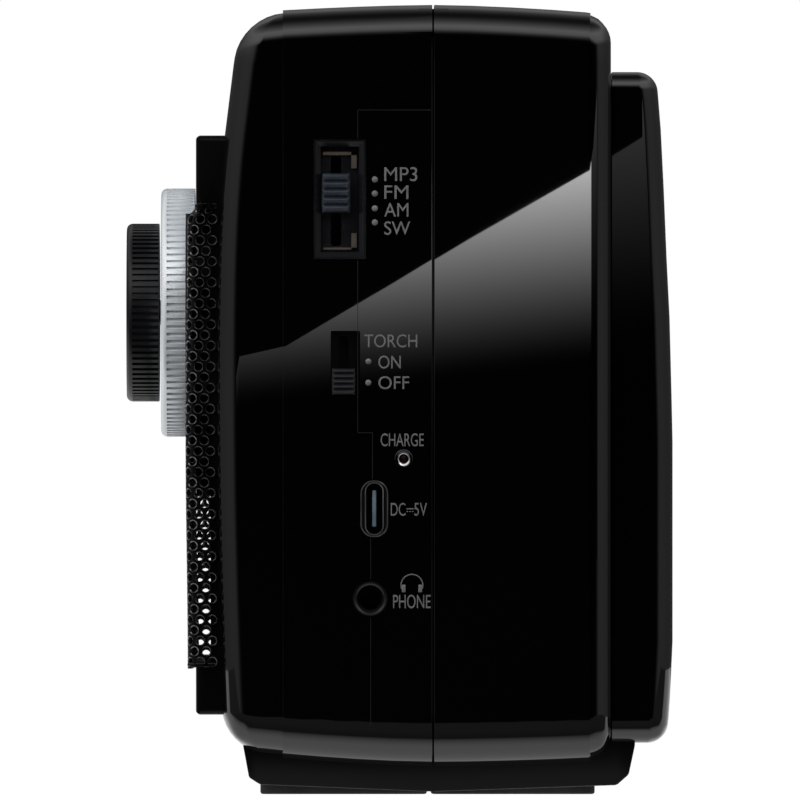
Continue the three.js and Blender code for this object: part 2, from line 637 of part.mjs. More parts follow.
// A ribbed thumb piece with a narrower stem that reaches into its switch.
function makeThumbSlider(place, ribs, topX, stemX) {
  const thumb = box([FACE_X - 1.9, topX], place.y, place.z);
  const height = place.z[1] - place.z[0];
  const pitch = height / (ribs + 0.5);
  const grooves = Array.from({ length: ribs - 1 }, (_, i) => {
    const middle = place.z[0] + pitch * (i + 1.25);
    return box([topX - 0.5, topX + 1], grown(place.y, 1), centred(middle, pitch * 0.45));
  });
  const stem = box([stemX, FACE_X - 1], grown(place.y, -1.2), grown(place.z, -height * 0.3));
  return cut(thumb.add(stem), grooves);
}

function makeSwitchBody(opening, slider, travel) {
  const y = grown(opening.y, 0.6);
  const z = grown(opening.z, 0.8);
  const body = box([SIDE_BOARD_X + 1.9, 93.4], y, z);
  const height = slider.z[1] - slider.z[0];
  const stemZ = grown(slider.z, -height * 0.3);
  const slot = box(
    [88, 100], grown(slider.y, -0.9), [stemZ[0] + travel[0] - GAP, stemZ[1] + travel[1] + GAP]);
  return body.subtract(slot);
}

function makeUsbShell() {
  const wall = 0.3;
  const y = centred(USB_CENTRE[0], USB_SHELL[0]);
  const z = centred(USB_CENTRE[1], USB_SHELL[1]);
  const outer = prism('x', roundedRect(y, z, 1.55), SIDE_BOARD_X + 4, FACE_X - 0.1, 6);
  const mouth = prism('x', roundedRect(grown(y, -wall), grown(z, -wall), 1.25), SIDE_BOARD_X + 8, FACE_X + 1, 6);
  return outer.subtract(mouth);
}

function makeUsbTongue() {
  return box([SIDE_BOARD_X + 8.3, FACE_X - 0.8], centred(USB_CENTRE[0], 0.83), centred(USB_CENTRE[1], 6.2));
}

function makeJack() {
  const hole = JACK_HOLE_RADIUS;
  const collar = turned('x', JACK_CENTRE, [
    [hole, FACE_X - 11], [JACK_COLLAR_RADIUS, FACE_X - 11], [JACK_COLLAR_RADIUS, FACE_X - 0.1],
    [hole + 0.5, FACE_X - 0.1], [hole, FACE_X - 0.7], [hole, FACE_X - 11],
  ], 32);
  const y = centred(JACK_CENTRE[0], 6);
  const block = box([SIDE_BOARD_X + 1.9, FACE_X - 8], y, centred(JACK_CENTRE[1], 6.6))
    .subtract(rod('x', JACK_CENTRE, hole, SIDE_BOARD_X + 3.5, FACE_X));
  return collar.add(block);
}

function makeLedRing() {
  return turned('x', LED_CENTRE, [
    [0.95, FACE_X - WALL], [LED_RING_RADIUS, FACE_X - WALL], [LED_RING_RADIUS, FACE_X + 0.1],
    [1.2, FACE_X + 0.25], [0.95, FACE_X - 0.1], [0.95, FACE_X - WALL],
  ], 24);
}

function makeLed() {
  return turned('x', LED_CENTRE, [
    [0, SIDE_BOARD_X + 1.9], [0.7, SIDE_BOARD_X + 1.9], [0.7, FACE_X - 0.5], [0.4, FACE_X - 0.25],
    [0, FACE_X - 0.2],
  ], 20);
}

// ---------------------------------------------------------------- buttons

function makeButton(index) {
  const x = (index - 2) * BUTTON_PITCH;
  const cap = box(centred(x, BUTTON_WIDTH), [PANEL_FRONT_Y, -30.2], centred(BUTTON_Z, BUTTON_HEIGHT));
  const stem = box(centred(x, 3), [-30.4, -28.2], centred(BUTTON_Z, 3));
  return cap.add(stem);
}

function makeButtonBoard() {
  const board = box(centred(0, BUTTON_PITCH * 5 + 6), [-25.4, -24], centred(BUTTON_Z + 0.6, 9));
  const domes = BUTTON_NAMES.map((_, i) => rod('y', [(i - 2) * BUTTON_PITCH, BUTTON_Z], 1.6, -26.9, -25, 12));
  return union([board, ...domes]);
}

// ---------------------------------------------------------------- torch and card socket, -X side

const LEFT_X = -HALF_WIDTH;

function makeTorchReflector() {
  const r = TORCH_RADIUS;
  return turned('x', TORCH_CENTRE, [
    [r - 1.4, LEFT_X + 1.9], [r, LEFT_X + 1.9], [r, LEFT_X + 4], [5, LEFT_X + 14], [2.6, LEFT_X + 14],
    [2.6, LEFT_X + 13], [4, LEFT_X + 12.6], [r - 1.2, LEFT_X + 3.6], [r - 1.4, LEFT_X + 1.9],
  ], 32);
}

function makeTorchLens() {
  const r = TORCH_RADIUS;
  return turned('x', TORCH_CENTRE, [
    [0, LEFT_X - 0.4], [r - 2, LEFT_X - 0.2], [r, LEFT_X + 0.2], [r, LEFT_X + 1.6], [0, LEFT_X + 1.6],
  ], 32);
}

function makeTorchLed() {
  const board = box([LEFT_X + 14.3, LEFT_X + 15.9], centred(TORCH_CENTRE[0], 14), centred(TORCH_CENTRE[1], 14));
  const emitter = turned('x', TORCH_CENTRE, [
    [0, LEFT_X + 11.4], [1.3, LEFT_X + 11.8], [2.1, LEFT_X + 12.8], [2.1, LEFT_X + 15], [0, LEFT_X + 15],
  ], 20);
  return board.add(emitter);
}

function makeCardSocket() {
  const shell = box([LEFT_X + 0.6, LEFT_X + 16], [-14, -2], [53.4, 56.6]);
  const slot = box([LEFT_X - 1, LEFT_X + 14], [-13.4, -2.6], [54.2, 55.8]);
  const lip = box([LEFT_X + 0.6, LEFT_X + WALL + 0.6], [-20, 4], [50, 60]);
  const narrowed = shell.subtract(lip.subtract(box([LEFT_X, LEFT_X + 5], [-14, -2], [54, 56])));
  return narrowed.subtract(slot);
}

// ---------------------------------------------------------------- antenna

// The tubes lie from the pivot towards -X.
const TUBE_START_X = ANTENNA_PIVOT_X - 5;

function makeAntennaYoke() {
  const centre = [ANTENNA_PIVOT_X, ANTENNA_Z];
  const stub = rod('y', centre, 3.6, ANTENNA_POCKET.y + GAP, ANTENNA_Y - 2.6, 24);
  const cheeks = [-1, 1].map((side) => {
    const z = side > 0 ? [ANTENNA_Z + 1.6, ANTENNA_Z + 3.2] : [ANTENNA_Z - 3.2, ANTENNA_Z - 1.6];
    return box(centred(ANTENNA_PIVOT_X, 6), [ANTENNA_Y - 3.2, ANTENNA_Y + 3], z);
  });
  return union([stub, ...cheeks])
    .subtract(rod('z', [ANTENNA_PIVOT_X, ANTENNA_Y], 1.2, ANTENNA_Z - 5, ANTENNA_Z + 5, 16));
}

function makeAntennaTube(level) {
  const radius = ANTENNA_TUBE_RADII[level];
  const bore = radius - ANTENNA_TUBE_WALL;
  const start = TUBE_START_X - level * ANTENNA_NEST;
  const end = TUBE_START_X - ANTENNA_LENGTH;
  const profile = [
    [0, start], [radius, start], [radius, end], [bore, end], [bore, start - 1.6], [0, start - 1.6],
  ];
  return turned('x', [ANTENNA_Y, ANTENNA_Z], profile, 20);
}

function makeAntennaRoot() {
  const pivot = [ANTENNA_PIVOT_X, ANTENNA_Y];
  const eye = rod('z', pivot, 2.4, ANTENNA_Z - 1.3, ANTENNA_Z + 1.3, 24);
  const neck = box(
    [TUBE_START_X - 0.5, ANTENNA_PIVOT_X], centred(ANTENNA_Y, 2.6), centred(ANTENNA_Z, 2.6));
  return union([eye, neck, makeAntennaTube(0)])
    .subtract(rod('z', pivot, 1.3, ANTENNA_Z - 5, ANTENNA_Z + 5, 16));
}

function makeAntennaTip() {
  const last = ANTENNA_TUBE_RADII.length - 1;
  const radius = ANTENNA_TUBE_RADII[last];
  const start = TUBE_START_X - last * ANTENNA_NEST;
  const end = TUBE_START_X - ANTENNA_LENGTH;
  return turned('x', [ANTENNA_Y, ANTENNA_Z], [
    [0, start], [radius, start], [radius, end - 0.5],
    [3.2, end - 0.5], [3.2, end - 5.5], [2.4, end - 6.5], [0, end - 6.5],
  ], 20);
}

// ---------------------------------------------------------------- assembly

addPiece('front_shell', makeFrontShell(), 'cabinet');
addPiece('rear_shell', makeRearShell(), 'cabinet');
addPiece('rear_cover', makeRearCover(), 'cabinet');
addPiece('battery_door', makeBatteryDoor(), 'cabinet');
addPiece('battery_tray', makeBatteryTray(), 'moulded');
addPiece('battery_pack', box([-34, 34], [20, 38], [24, 58]), 'battery');
COVER_SCREWS.forEach((place, i) => addPiece(`cover_screw_${i + 1}`, coverScrew(place), 'steel'));
for (const [name, x, span] of FEET) {
  addPiece(name, box(centred(x, 2 * FOOT_HALF_WIDTH), span, [0, FOOT_HEIGHT]), 'rubber');
}

addPiece('front_panel', makeFrontPanel(), 'panel');
addPiece('speaker_grille', makeGrille(), 'grille');
addPiece('dial_window', box(grown(WINDOW_SPAN_X, -GAP), [-34.3, -33.1], grown(WINDOW_SPAN_Z, -GAP)), 'clear');
addPiece('dial_scale', box(grown(WINDOW_SPAN_X, -GAP), [-31.6, -30.9], [102.4, 110.1]), 'scale');
addPiece('dial_pointer', makePointer(), 'red');
addPiece('pointer_rail', makePointerRail(), 'steel');

addPiece('volume_knob', makeVolumeKnob(), 'knob');
addPiece('volume_shaft', rod('y', [KNOB_X, KNOB_Z], VOLUME_SHAFT_RADIUS, -43.2, -19.9, 24), 'steel');
addPiece('volume_control', rod('y', [KNOB_X, KNOB_Z], 8.5, -19.5, -9.5), 'steel');
addPiece('tuning_ring', makeTuningRing(), 'silver');
addPiece('tuning_spindle', makeTuningSpindle(), 'brass');
addPiece('tuning_drum', makeDrum(), 'moulded');
addPiece('tuning_capacitor', box(centred(DRUM_X, 20), [-20.5, -8.5], centred(DRUM_Z, 20)), 'clear');

addPiece('speaker_frame', makeSpeakerFrame(), 'steel');
addPiece('speaker_cone', makeSpeakerCone(), 'cone');
addPiece('speaker_magnet', makeSpeakerMagnet(), 'ferrite');

addPiece('band_switch_bezel', makeBandBezel(), 'moulded');
addPiece('band_slider', makeThumbSlider(BAND_SLIDER, 5, FACE_X + 0.7, 89.5), 'slider');
addPiece('band_switch', makeSwitchBody(BAND_OPENING, BAND_SLIDER, [-4.86, 2.43]), 'steel');
addPiece('torch_slider', makeThumbSlider(TORCH_SLIDER, 5, FACE_X + 0.6, 89.5), 'moulded');
addPiece('torch_switch', makeSwitchBody(TORCH_OPENING, TORCH_SLIDER, [0, 3.6]), 'steel');
addPiece('charge_led_ring', makeLedRing(), 'silver');
addPiece('charge_led', makeLed(), 'clear');
addPiece('usb_socket', makeUsbShell(), 'steel');
addPiece('usb_tongue', makeUsbTongue(), 'slider');
addPiece('headphone_jack', makeJack(), 'moulded');
addPiece('side_board', box([SIDE_BOARD_X, SIDE_BOARD_X + 1.6], [-17, 3], [28, 113]), 'board');

BUTTON_NAMES.forEach((name, i) => addPiece(name, makeButton(i), 'moulded'));
addPiece('button_board', makeButtonBoard(), 'board');
addPiece('main_board', box([2, 80], [12, 13.6], [24, 100]), 'board');
addPiece('ferrite_rod', rod('x', [14, 116], 5, -55, 55, 24), 'ferrite');
addPiece('ferrite_coil', turned('x', [14, 116], [
  [5.3, -32], [6.8, -32], [6.8, -4], [5.3, -4], [5.3, -32],
], 24), 'copper');

addPiece('torch_reflector', makeTorchReflector(), 'silver');
addPiece('torch_lens', makeTorchLens(), 'clear');
addPiece('torch_led', makeTorchLed(), 'board');
addPiece('card_socket', makeCardSocket(), 'steel');

addPiece('antenna_yoke', makeAntennaYoke(), 'silver');
addPiece('antenna_pin', rod('z', [ANTENNA_PIVOT_X, ANTENNA_Y], 0.9, ANTENNA_Z - 3.3, ANTENNA_Z + 3.3, 16), 'steel');
addPiece('antenna_tube_1', makeAntennaRoot(), 'silver');
addPiece('antenna_tube_2', makeAntennaTube(1), 'silver');
addPiece('antenna_tube_3', makeAntennaTube(2), 'silver');
addPiece('antenna_tip', makeAntennaTip(), 'silver');

export default receiver;
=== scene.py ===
"""The shortwave receiver's looks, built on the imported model.

Sizes are in millimetres in the code and are turned into metres where a piece is made.
"""
import math

import bpy
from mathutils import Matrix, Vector


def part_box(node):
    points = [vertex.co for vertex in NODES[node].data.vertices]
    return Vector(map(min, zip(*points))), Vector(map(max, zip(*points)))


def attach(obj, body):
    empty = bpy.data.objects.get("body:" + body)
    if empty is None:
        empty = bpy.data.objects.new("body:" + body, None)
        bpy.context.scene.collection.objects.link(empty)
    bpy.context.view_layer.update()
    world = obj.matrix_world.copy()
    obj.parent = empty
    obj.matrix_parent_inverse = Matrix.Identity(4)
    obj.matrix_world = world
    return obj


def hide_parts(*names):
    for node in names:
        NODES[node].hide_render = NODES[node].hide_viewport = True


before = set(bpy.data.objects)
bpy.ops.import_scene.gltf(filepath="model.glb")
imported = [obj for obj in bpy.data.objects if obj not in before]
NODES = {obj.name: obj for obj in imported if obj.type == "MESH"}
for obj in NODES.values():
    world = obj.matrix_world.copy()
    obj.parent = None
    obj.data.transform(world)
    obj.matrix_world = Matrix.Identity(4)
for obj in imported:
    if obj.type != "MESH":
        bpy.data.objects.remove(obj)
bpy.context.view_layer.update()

MM = 0.001


def box_mm(node):
    """Lowest and highest corner of a CAD node, in millimetres."""
    low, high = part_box(node)
    return low / MM, high / MM


# ------------------------------------------------------------------ driving sizes

SHELL_HIGH = box_mm("front_shell")[1]
COVER_LOW, COVER_HIGH = box_mm("rear_cover")
PANEL_LOW, PANEL_HIGH = box_mm("front_panel")
GRILLE_LOW, GRILLE_HIGH = box_mm("speaker_grille")
KNOB_LOW, KNOB_HIGH = box_mm("volume_knob")
RING_LOW, RING_HIGH = box_mm("tuning_ring")

FACE_X = SHELL_HIGH.x
BELT_RISE = 0.5
WALL = 2.5
TOP_Z = SHELL_HIGH.z
BOTTOM_Z = 4.9
BELT_FRONT_Y = -19.7
BELT_REAR_Y = 32.4
PARTING_Y = 5.8
PARTING_GAP = 0.3
BODY_REAR_Y = 36.0
FRONT_PEAK_Y = -31.3
FRONT_PEAK_Z = 67.0
PANEL_TOP_Z = PANEL_HIGH.z
KNOB_CENTRE = (KNOB_LOW + KNOB_HIGH) / 2
KNOB_X, KNOB_Z = KNOB_CENTRE.x, KNOB_CENTRE.z
SHAFT_HOLE = 7.5
SPEAKER_X, SPEAKER_Z = -40, 60
SPEAKER_OPENING = 35.5
USB_Y, USB_Z = -4.2, 48.6
JACK_Y, JACK_Z = -4.9, 33.3
LAMP_Y, LAMP_Z = 0.8, 57.1
TORCH_Y, TORCH_Z = -8, 96
BUTTONS = ["mode_button", "back_button", "play_button", "next_button", "repeat_button"]
SCREWS = ["cover_screw_1", "cover_screw_2", "cover_screw_3", "cover_screw_4"]
SCREW_WELL = 3.2
FEET = ["foot_front_left", "foot_front_right", "foot_rear_left", "foot_rear_right"]


# ------------------------------------------------------------------ modelling by hand

def only(piece):
    if bpy.context.mode != "OBJECT":
        bpy.ops.object.mode_set(mode="OBJECT")
    bpy.ops.object.select_all(action="DESELECT")
    piece.select_set(True)
    bpy.context.view_layer.objects.active = piece


def settle(piece, name):
    """Names a new piece and takes its place into its mesh."""
    only(piece)
    piece.name = name
    bpy.ops.object.transform_apply(location=True, rotation=True, scale=True)
    return piece


def block(name, low, high):
    bpy.ops.object.select_all(action="DESELECT")
    centre = [(a + b) / 2 * MM for a, b in zip(low, high)]
    size = [(b - a) * MM for a, b in zip(low, high)]
    bpy.ops.mesh.primitive_cube_add(size=1, location=centre, scale=size)
    return settle(bpy.context.object, name)


AXIS_TURN = {"x": (0, math.pi / 2, 0), "y": (math.pi / 2, 0, 0), "z": (0, 0, 0)}


def cylinder(name, axis, centre, radius, low, high, sides=48):
    """A cylinder along one axis. `centre` is its two other coordinates, in X, Y, Z order."""
    along = "xyz".index(axis)
    place = list(centre)
    place.insert(along, (low + high) / 2)
    bpy.ops.object.select_all(action="DESELECT")
    bpy.ops.mesh.primitive_cylinder_add(
        vertices=sides, radius=radius * MM, depth=(high - low) * MM,
        location=[c * MM for c in place], rotation=AXIS_TURN[axis])
    return settle(bpy.context.object, name)


def pick(piece, test, mode="VERT"):
    """Opens edit mode with the elements selected whose middle, in millimetres, passes the test."""
    only(piece)
    mesh = piece.data
    mesh.vertices.foreach_set("select", [False] * len(mesh.vertices))
    mesh.edges.foreach_set("select", [False] * len(mesh.edges))
    mesh.polygons.foreach_set("select", [False] * len(mesh.polygons))
    points = [v.co / MM for v in mesh.vertices]
    if mode == "VERT":
        for vertex, point in zip(mesh.vertices, points):
            vertex.select = test(point)
    elif mode == "EDGE":
        for edge in mesh.edges:
            a, b = (points[i] for i in edge.vertices)
            edge.select = test(a, b)
    else:
        for face in mesh.polygons:
            face.select = test(face.center / MM, face.normal)
    bpy.ops.object.mode_set(mode="EDIT")
    bpy.ops.mesh.select_mode(type=mode)


def pick_all(piece):
    pick(piece, lambda point: True)
    bpy.ops.mesh.select_all(action="SELECT")


def done():
    bpy.ops.object.mode_set(mode="OBJECT")


def slice_at(piece, axis, places):
    """Cuts new edge loops across the piece at each place along one axis."""
    normal = [float(axis == letter) for letter in "xyz"]
    for place in places:
        pick_all(piece)
        bpy.ops.mesh.bisect(plane_co=[n * place * MM for n in normal], plane_no=normal)
        done()


def keep_side(piece, axis, place, above, fill=False):
    """Cuts the piece along a plane and keeps the part above or below it."""
    normal = [float(axis == letter) for letter in "xyz"]
    pick_all(piece)
    bpy.ops.mesh.bisect(
        plane_co=[n * place * MM for n in normal], plane_no=normal,
        clear_inner=above, clear_outer=not above, use_fill=fill)
    done()


def nudge(piece, test, by):
    pick(piece, test)
    bpy.ops.transform.translate(value=[b * MM for b in by])
    done()


def bevel_where(piece, test, width, segments=3, profile=0.5):
    pick(piece, test, "EDGE")
    bpy.ops.mesh.bevel(offset=width * MM, segments=segments, profile=profile, affect="EDGES",
                       clamp_overlap=True)
    done()


def apply_modifier(piece, kind, **settings):
    only(piece)
    modifier = piece.modifiers.new(kind.title(), kind)
    for key, value in settings.items():
        setattr(modifier, key, value)
    bpy.ops.object.modifier_apply(modifier=modifier.name)


def round_edges(piece, radius_of):
    """Rounds every edge by its own radius, in millimetres, that radius_of(a, b) gives."""
    mesh = piece.data
    points = [v.co / MM for v in mesh.vertices]
    radii = [radius_of(*(points[i] for i in edge.vertices)) for edge in mesh.edges]
    widest = max(radii)
    weights = mesh.attributes.new("bevel_weight_edge", "FLOAT", "EDGE")
    weights.data.foreach_set("value", [radius / widest for radius in radii])
    apply_modifier(piece, "BEVEL", width=widest * MM, segments=8, limit_method="WEIGHT",
                   use_clamp_overlap=False)


def soften(piece, width=0.2, segments=2, angle=35):
    apply_modifier(piece, "BEVEL", width=width * MM, segments=segments, limit_method="ANGLE",
                   angle_limit=math.radians(angle), use_clamp_overlap=True)
    smooth(piece)


def smooth(piece, angle=35):
    only(piece)
    bpy.ops.object.shade_smooth_by_angle(angle=math.radians(angle))


def even_normals(piece, angle=35):
    """Keeps wide flat faces flat beside their rounded edges."""
    smooth(piece, angle)
    apply_modifier(piece, "WEIGHTED_NORMAL", keep_sharp=True, weight=100)


def cut_away(piece, cutters):
    for cutter in cutters:
        apply_modifier(piece, "BOOLEAN", operation="DIFFERENCE", solver="EXACT", object=cutter)
        bpy.data.objects.remove(cutter)


def join(name, pieces):
    only(pieces[0])
    for piece in pieces[1:]:
        piece.select_set(True)
    bpy.ops.object.join()
    pieces[0].name = name
    return pieces[0]


def copy_of(piece, name, by=(0, 0, 0)):
    twin = piece.copy()
    twin.data = piece.data.copy()
    twin.name = name
    bpy.context.scene.collection.objects.link(twin)
    only(twin)
    twin.location = [b * MM for b in by]
    bpy.ops.object.transform_apply(location=True, rotation=False, scale=False)
    return twin


def spun(name, axis, centre, profile, steps=64):
    """Turns a profile of (radius, distance along the axis) points round an axis parallel to X or Y."""
    bpy.ops.object.select_all(action="DESELECT")
    start = spun_point(axis, centre, profile[0])
    bpy.ops.mesh.primitive_plane_add(size=MM, location=start)
    piece = settle(bpy.context.object, name)
    bpy.ops.object.mode_set(mode="EDIT")
    bpy.ops.mesh.select_mode(type="VERT")
    bpy.ops.mesh.select_all(action="SELECT")
    bpy.ops.mesh.merge(type="CENTER")
    for before, after in zip(profile, profile[1:]):
        step = spun_point(axis, centre, after) - spun_point(axis, centre, before)
        bpy.ops.mesh.extrude_vertices_move(TRANSFORM_OT_translate={"value": step})
    bpy.ops.mesh.select_all(action="SELECT")
    middle = spun_point(axis, centre, (0, 0))
    direction = [float(axis == letter) for letter in "xyz"]
    bpy.ops.mesh.spin(steps=steps, angle=2 * math.pi, center=middle, axis=direction)
    bpy.ops.mesh.select_all(action="SELECT")
    bpy.ops.mesh.remove_doubles(threshold=0.002 * MM)
    bpy.ops.mesh.normals_make_consistent(inside=False)
    done()
    return piece


def spun_point(axis, centre, point):
    radius, along = point
    if axis == "x":
        return Vector((along, centre[0] + radius, centre[1])) * MM
    return Vector((centre[0] + radius, along, centre[1])) * MM


def turned_fitting(name, centre, profile, steps, angle, material, node):
    """A turned part on the cabinet, its axis along X."""
    piece = spun(name, "x", centre, profile, steps)
    smooth(piece, angle)
    place_piece(piece, "cabinet", material, [node])


def place_piece(piece, body, material, replaces=()):
    if not piece.data.materials:
        piece.data.materials.append(material)
    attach(piece, body)
    if replaces:
        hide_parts(*replaces)
    return piece


def two_tone(piece, main, other, takes_other):
    """Gives the piece two materials; the faces that pass the test take the second."""
    piece.data.materials.clear()
    piece.data.materials.append(main)
    piece.data.materials.append(other)
    for face in piece.data.polygons:
        face.material_index = int(takes_other(face))


# ------------------------------------------------------------------ camera

LENS = 1600
SENSOR = 36
FRAME_HEIGHT = 135.82  # what the picture spans at the switches' face
VIEW_CENTRE = (0.17, 67.06)


def make_camera():
    distance = FRAME_HEIGHT * LENS / SENSOR
    data = bpy.data.cameras.new("camera")
    data.lens = LENS
    data.sensor_width = SENSOR
    data.clip_start = 1
    data.clip_end = 20
    camera = bpy.data.objects.new("camera", data)
    bpy.context.scene.collection.objects.link(camera)
    camera.location = ((FACE_X + distance) * MM, VIEW_CENTRE[0] * MM, VIEW_CENTRE[1] * MM)
    camera.rotation_euler = (math.pi / 2, 0, math.pi / 2)
    bpy.context.scene.camera = camera


# ------------------------------------------------------------------ material helpers

def new_material(name, colour, roughness, metallic=0.0):
    material = bpy.data.materials.new(name)
    material.use_nodes = True
    shader = material.node_tree.nodes["Principled BSDF"]
    shader.inputs["Base Color"].default_value = (*colour, 1)
    shader.inputs["Roughness"].default_value = roughness
    shader.inputs["Metallic"].default_value = metallic
    material.diffuse_color = (*colour, 1)
    return material


def shader_of(material):
    return material.node_tree.nodes["Principled BSDF"]


def wire(source, output, target, socket):
    source.id_data.links.new(source.outputs[output], target.inputs[socket])


def map_range(tree, start, end, low, high):
    node = tree.nodes.new("ShaderNodeMapRange")
    node.inputs["From Min"].default_value = start
    node.inputs["From Max"].default_value = end
    node.inputs["To Min"].default_value = low
    node.inputs["To Max"].default_value = high
    return node


def noise_of(material, scale, detail, stretch):
    """Noise on the piece's own coordinates, stretched along its axes."""
    tree = material.node_tree
    coordinates = tree.nodes.new("ShaderNodeTexCoord")
    mapping = tree.nodes.new("ShaderNodeMapping")
    mapping.inputs["Scale"].default_value = stretch
    noise = tree.nodes.new("ShaderNodeTexNoise")
    noise.inputs["Scale"].default_value = scale
    noise.inputs["Detail"].default_value = detail
    wire(coordinates, "Object", mapping, "Vector")
    wire(mapping, "Vector", noise, "Vector")
    return noise


def vary_roughness(material, scale, low, high, stretch=(1, 1, 1)):
    noise = noise_of(material, scale, 4.0, stretch)
    spread = map_range(material.node_tree, 0.35, 0.65, low, high)
    wire(noise, "Fac", spread, "Value")
    wire(spread, "Result", shader_of(material), "Roughness")


def vary_colour(material, scale, dark, light, stretch=(1, 1, 1)):
    tree = material.node_tree
    noise = noise_of(material, scale, 5.0, stretch)
    ramp = tree.nodes.new("ShaderNodeValToRGB")
    ramp.color_ramp.elements[0].position = 0.3
    ramp.color_ramp.elements[0].color = (*dark, 1)
    ramp.color_ramp.elements[1].position = 0.7
    ramp.color_ramp.elements[1].color = (*light, 1)
    wire(noise, "Fac", ramp, "Fac")
    wire(ramp, "Color", shader_of(material), "Base Color")


def add_grain(material, scale, depth_mm, strength=1.0, stretch=(1, 1, 1)):
    tree = material.node_tree
    noise = noise_of(material, scale, 2.0, stretch)
    bump = tree.nodes.new("ShaderNodeBump")
    bump.inputs["Strength"].default_value = strength
    bump.inputs["Distance"].default_value = depth_mm * MM
    wire(noise, "Fac", bump, "Height")
    wire(bump, "Normal", shader_of(material), "Normal")


# ------------------------------------------------------------------ finishes

def finish(name, colour, roughness, metallic=0.0, rough=None, tint=None, grain=None, inputs=None):
    """A finish whose roughness, colour and surface vary over the piece.

    rough is (noise scale, lowest, highest), tint is (noise scale, dark, light) and grain is
    (noise scale, depth in millimetres, strength); rough and grain may end with a stretch.
    """
    material = new_material(name, colour, roughness, metallic)
    for socket, value in (inputs or {}).items():
        shader_of(material).inputs[socket].default_value = value
    if rough:
        vary_roughness(material, *rough)
    if tint:
        vary_colour(material, *tint)
    if grain:
        add_grain(material, *grain)
    return material


GLOSS = finish("gloss_black_moulding", (0.0009, 0.0009, 0.001), 0.03, rough=(35, 0.015, 0.035),
               tint=(12, (0.0007, 0.0007, 0.0008), (0.0012, 0.0012, 0.0014)),
               inputs={"Coat Weight": 1.0, "Coat Roughness": 0.008})
SATIN = finish("satin_black_moulding", (0.0006, 0.0006, 0.0008), 0.3, rough=(60, 0.24, 0.36),
               tint=(30, (0.0004, 0.0004, 0.0005), (0.0009, 0.0009, 0.0011)), grain=(2500, 0.01, 0.5),
               inputs={"Specular IOR Level": 0.16})
GRILLE = finish("grille_black_paint", (0.001, 0.001, 0.0012), 0.22, 0.0, rough=(90, 0.18, 0.28),
                tint=(40, (0.0008, 0.0008, 0.001), (0.0016, 0.0016, 0.002)), grain=(3000, 0.01, 0.4),
                inputs={"Specular IOR Level": 0.35})
# The hole rims take a lighter metal than the black sheet so that they show bright crescents: a painted
# highlight. Where the crescents fall comes from the light.
HOLE_RIM_HIGHLIGHT = finish("hole_rim_painted_highlight", (0.2, 0.2, 0.21), 0.25, 1.0, rough=(300, 0.18, 0.34),
                   tint=(400, (0.12, 0.12, 0.13), (0.3, 0.3, 0.31)))
JOINT_LINE = finish("joint_line_black", (0.006, 0.006, 0.007), 0.6, rough=(200, 0.5, 0.7),
                    tint=(150, (0.004, 0.004, 0.005), (0.009, 0.009, 0.01)))
BEZEL = finish("bezel_black_moulding", (0.004, 0.004, 0.005), 0.22, rough=(200, 0.16, 0.3),
               tint=(90, (0.003, 0.003, 0.004), (0.006, 0.006, 0.008)), grain=(2500, 0.004, 0.3))
INNER_MOULDING = finish("inner_black_moulding", (0.015, 0.015, 0.017), 0.5, rough=(150, 0.42, 0.6),
                        tint=(80, (0.011, 0.011, 0.013), (0.021, 0.021, 0.024)), grain=(1500, 0.02, 0.5))
SILVER = finish("silver_satin_plating", (0.72, 0.76, 0.8), 0.3, 0.4, rough=(120, 0.26, 0.38),
                tint=(25, (0.84, 0.88, 0.92), (0.91, 0.94, 0.97)), grain=(4000, 0.003, 0.2))
KNOB = finish("knob_black_moulding", (0.004, 0.004, 0.005), 0.32, rough=(100, 0.26, 0.38),
              tint=(40, (0.003, 0.003, 0.004), (0.005, 0.005, 0.0065)), grain=(2500, 0.01, 0.5))
SLIDER = finish("slider_blue_grey", (0.02, 0.025, 0.034), 0.3, rough=(200, 0.24, 0.36),
                tint=(300, (0.016, 0.021, 0.029), (0.025, 0.031, 0.041)), grain=(5000, 0.008, 0.5))
TORCH_KNOB = finish("torch_knob_moulding", (0.012, 0.012, 0.014), 0.42, rough=(250, 0.34, 0.5),
                    tint=(150, (0.009, 0.009, 0.011), (0.017, 0.017, 0.02)), grain=(3500, 0.008, 0.5))
TONGUE = finish("tongue_blue_grey", (0.25, 0.32, 0.38), 0.4, rough=(300, 0.3, 0.5),
                tint=(500, (0.09, 0.12, 0.16), (0.14, 0.18, 0.22)), grain=(4000, 0.004, 0.4))
BRACKET = finish("bracket_tin", (0.1, 0.085, 0.07), 0.5, 0.6, rough=(300, 0.4, 0.6),
                 tint=(200, (0.08, 0.07, 0.055), (0.13, 0.11, 0.09)), grain=(3000, 0.005, 0.4))
LETTERING = finish("moulded_lettering_grey", (0.16, 0.16, 0.16), 0.5, rough=(400, 0.4, 0.6),
                   tint=(600, (0.105, 0.105, 0.105), (0.165, 0.165, 0.165)))
CHROME = finish("bright_chrome", (0.8, 0.81, 0.83), 0.08, 1.0, rough=(80, 0.05, 0.12),
                tint=(60, (0.76, 0.77, 0.79), (0.84, 0.85, 0.87)))
STEEL = finish("zinc_plated_steel", (0.5, 0.51, 0.52), 0.35, 1.0, rough=(150, 0.28, 0.45, (1, 6, 1)),
               tint=(70, (0.42, 0.43, 0.45), (0.58, 0.58, 0.58)), grain=(1500, 0.006, 0.4, (1, 8, 1)))
BRASS = finish("turned_brass", (0.7, 0.52, 0.25), 0.25, 1.0, rough=(200, 0.18, 0.35, (1, 12, 1)),
               tint=(80, (0.62, 0.44, 0.2), (0.74, 0.56, 0.28)), grain=(900, 0.005, 0.5, (1, 14, 1)))
COPPER = finish("copper_winding", (0.6, 0.22, 0.1), 0.35, 1.0, rough=(300, 0.25, 0.5),
                tint=(200, (0.45, 0.15, 0.07), (0.7, 0.3, 0.15)), grain=(1600, 0.05, 0.8, (6, 1, 1)))
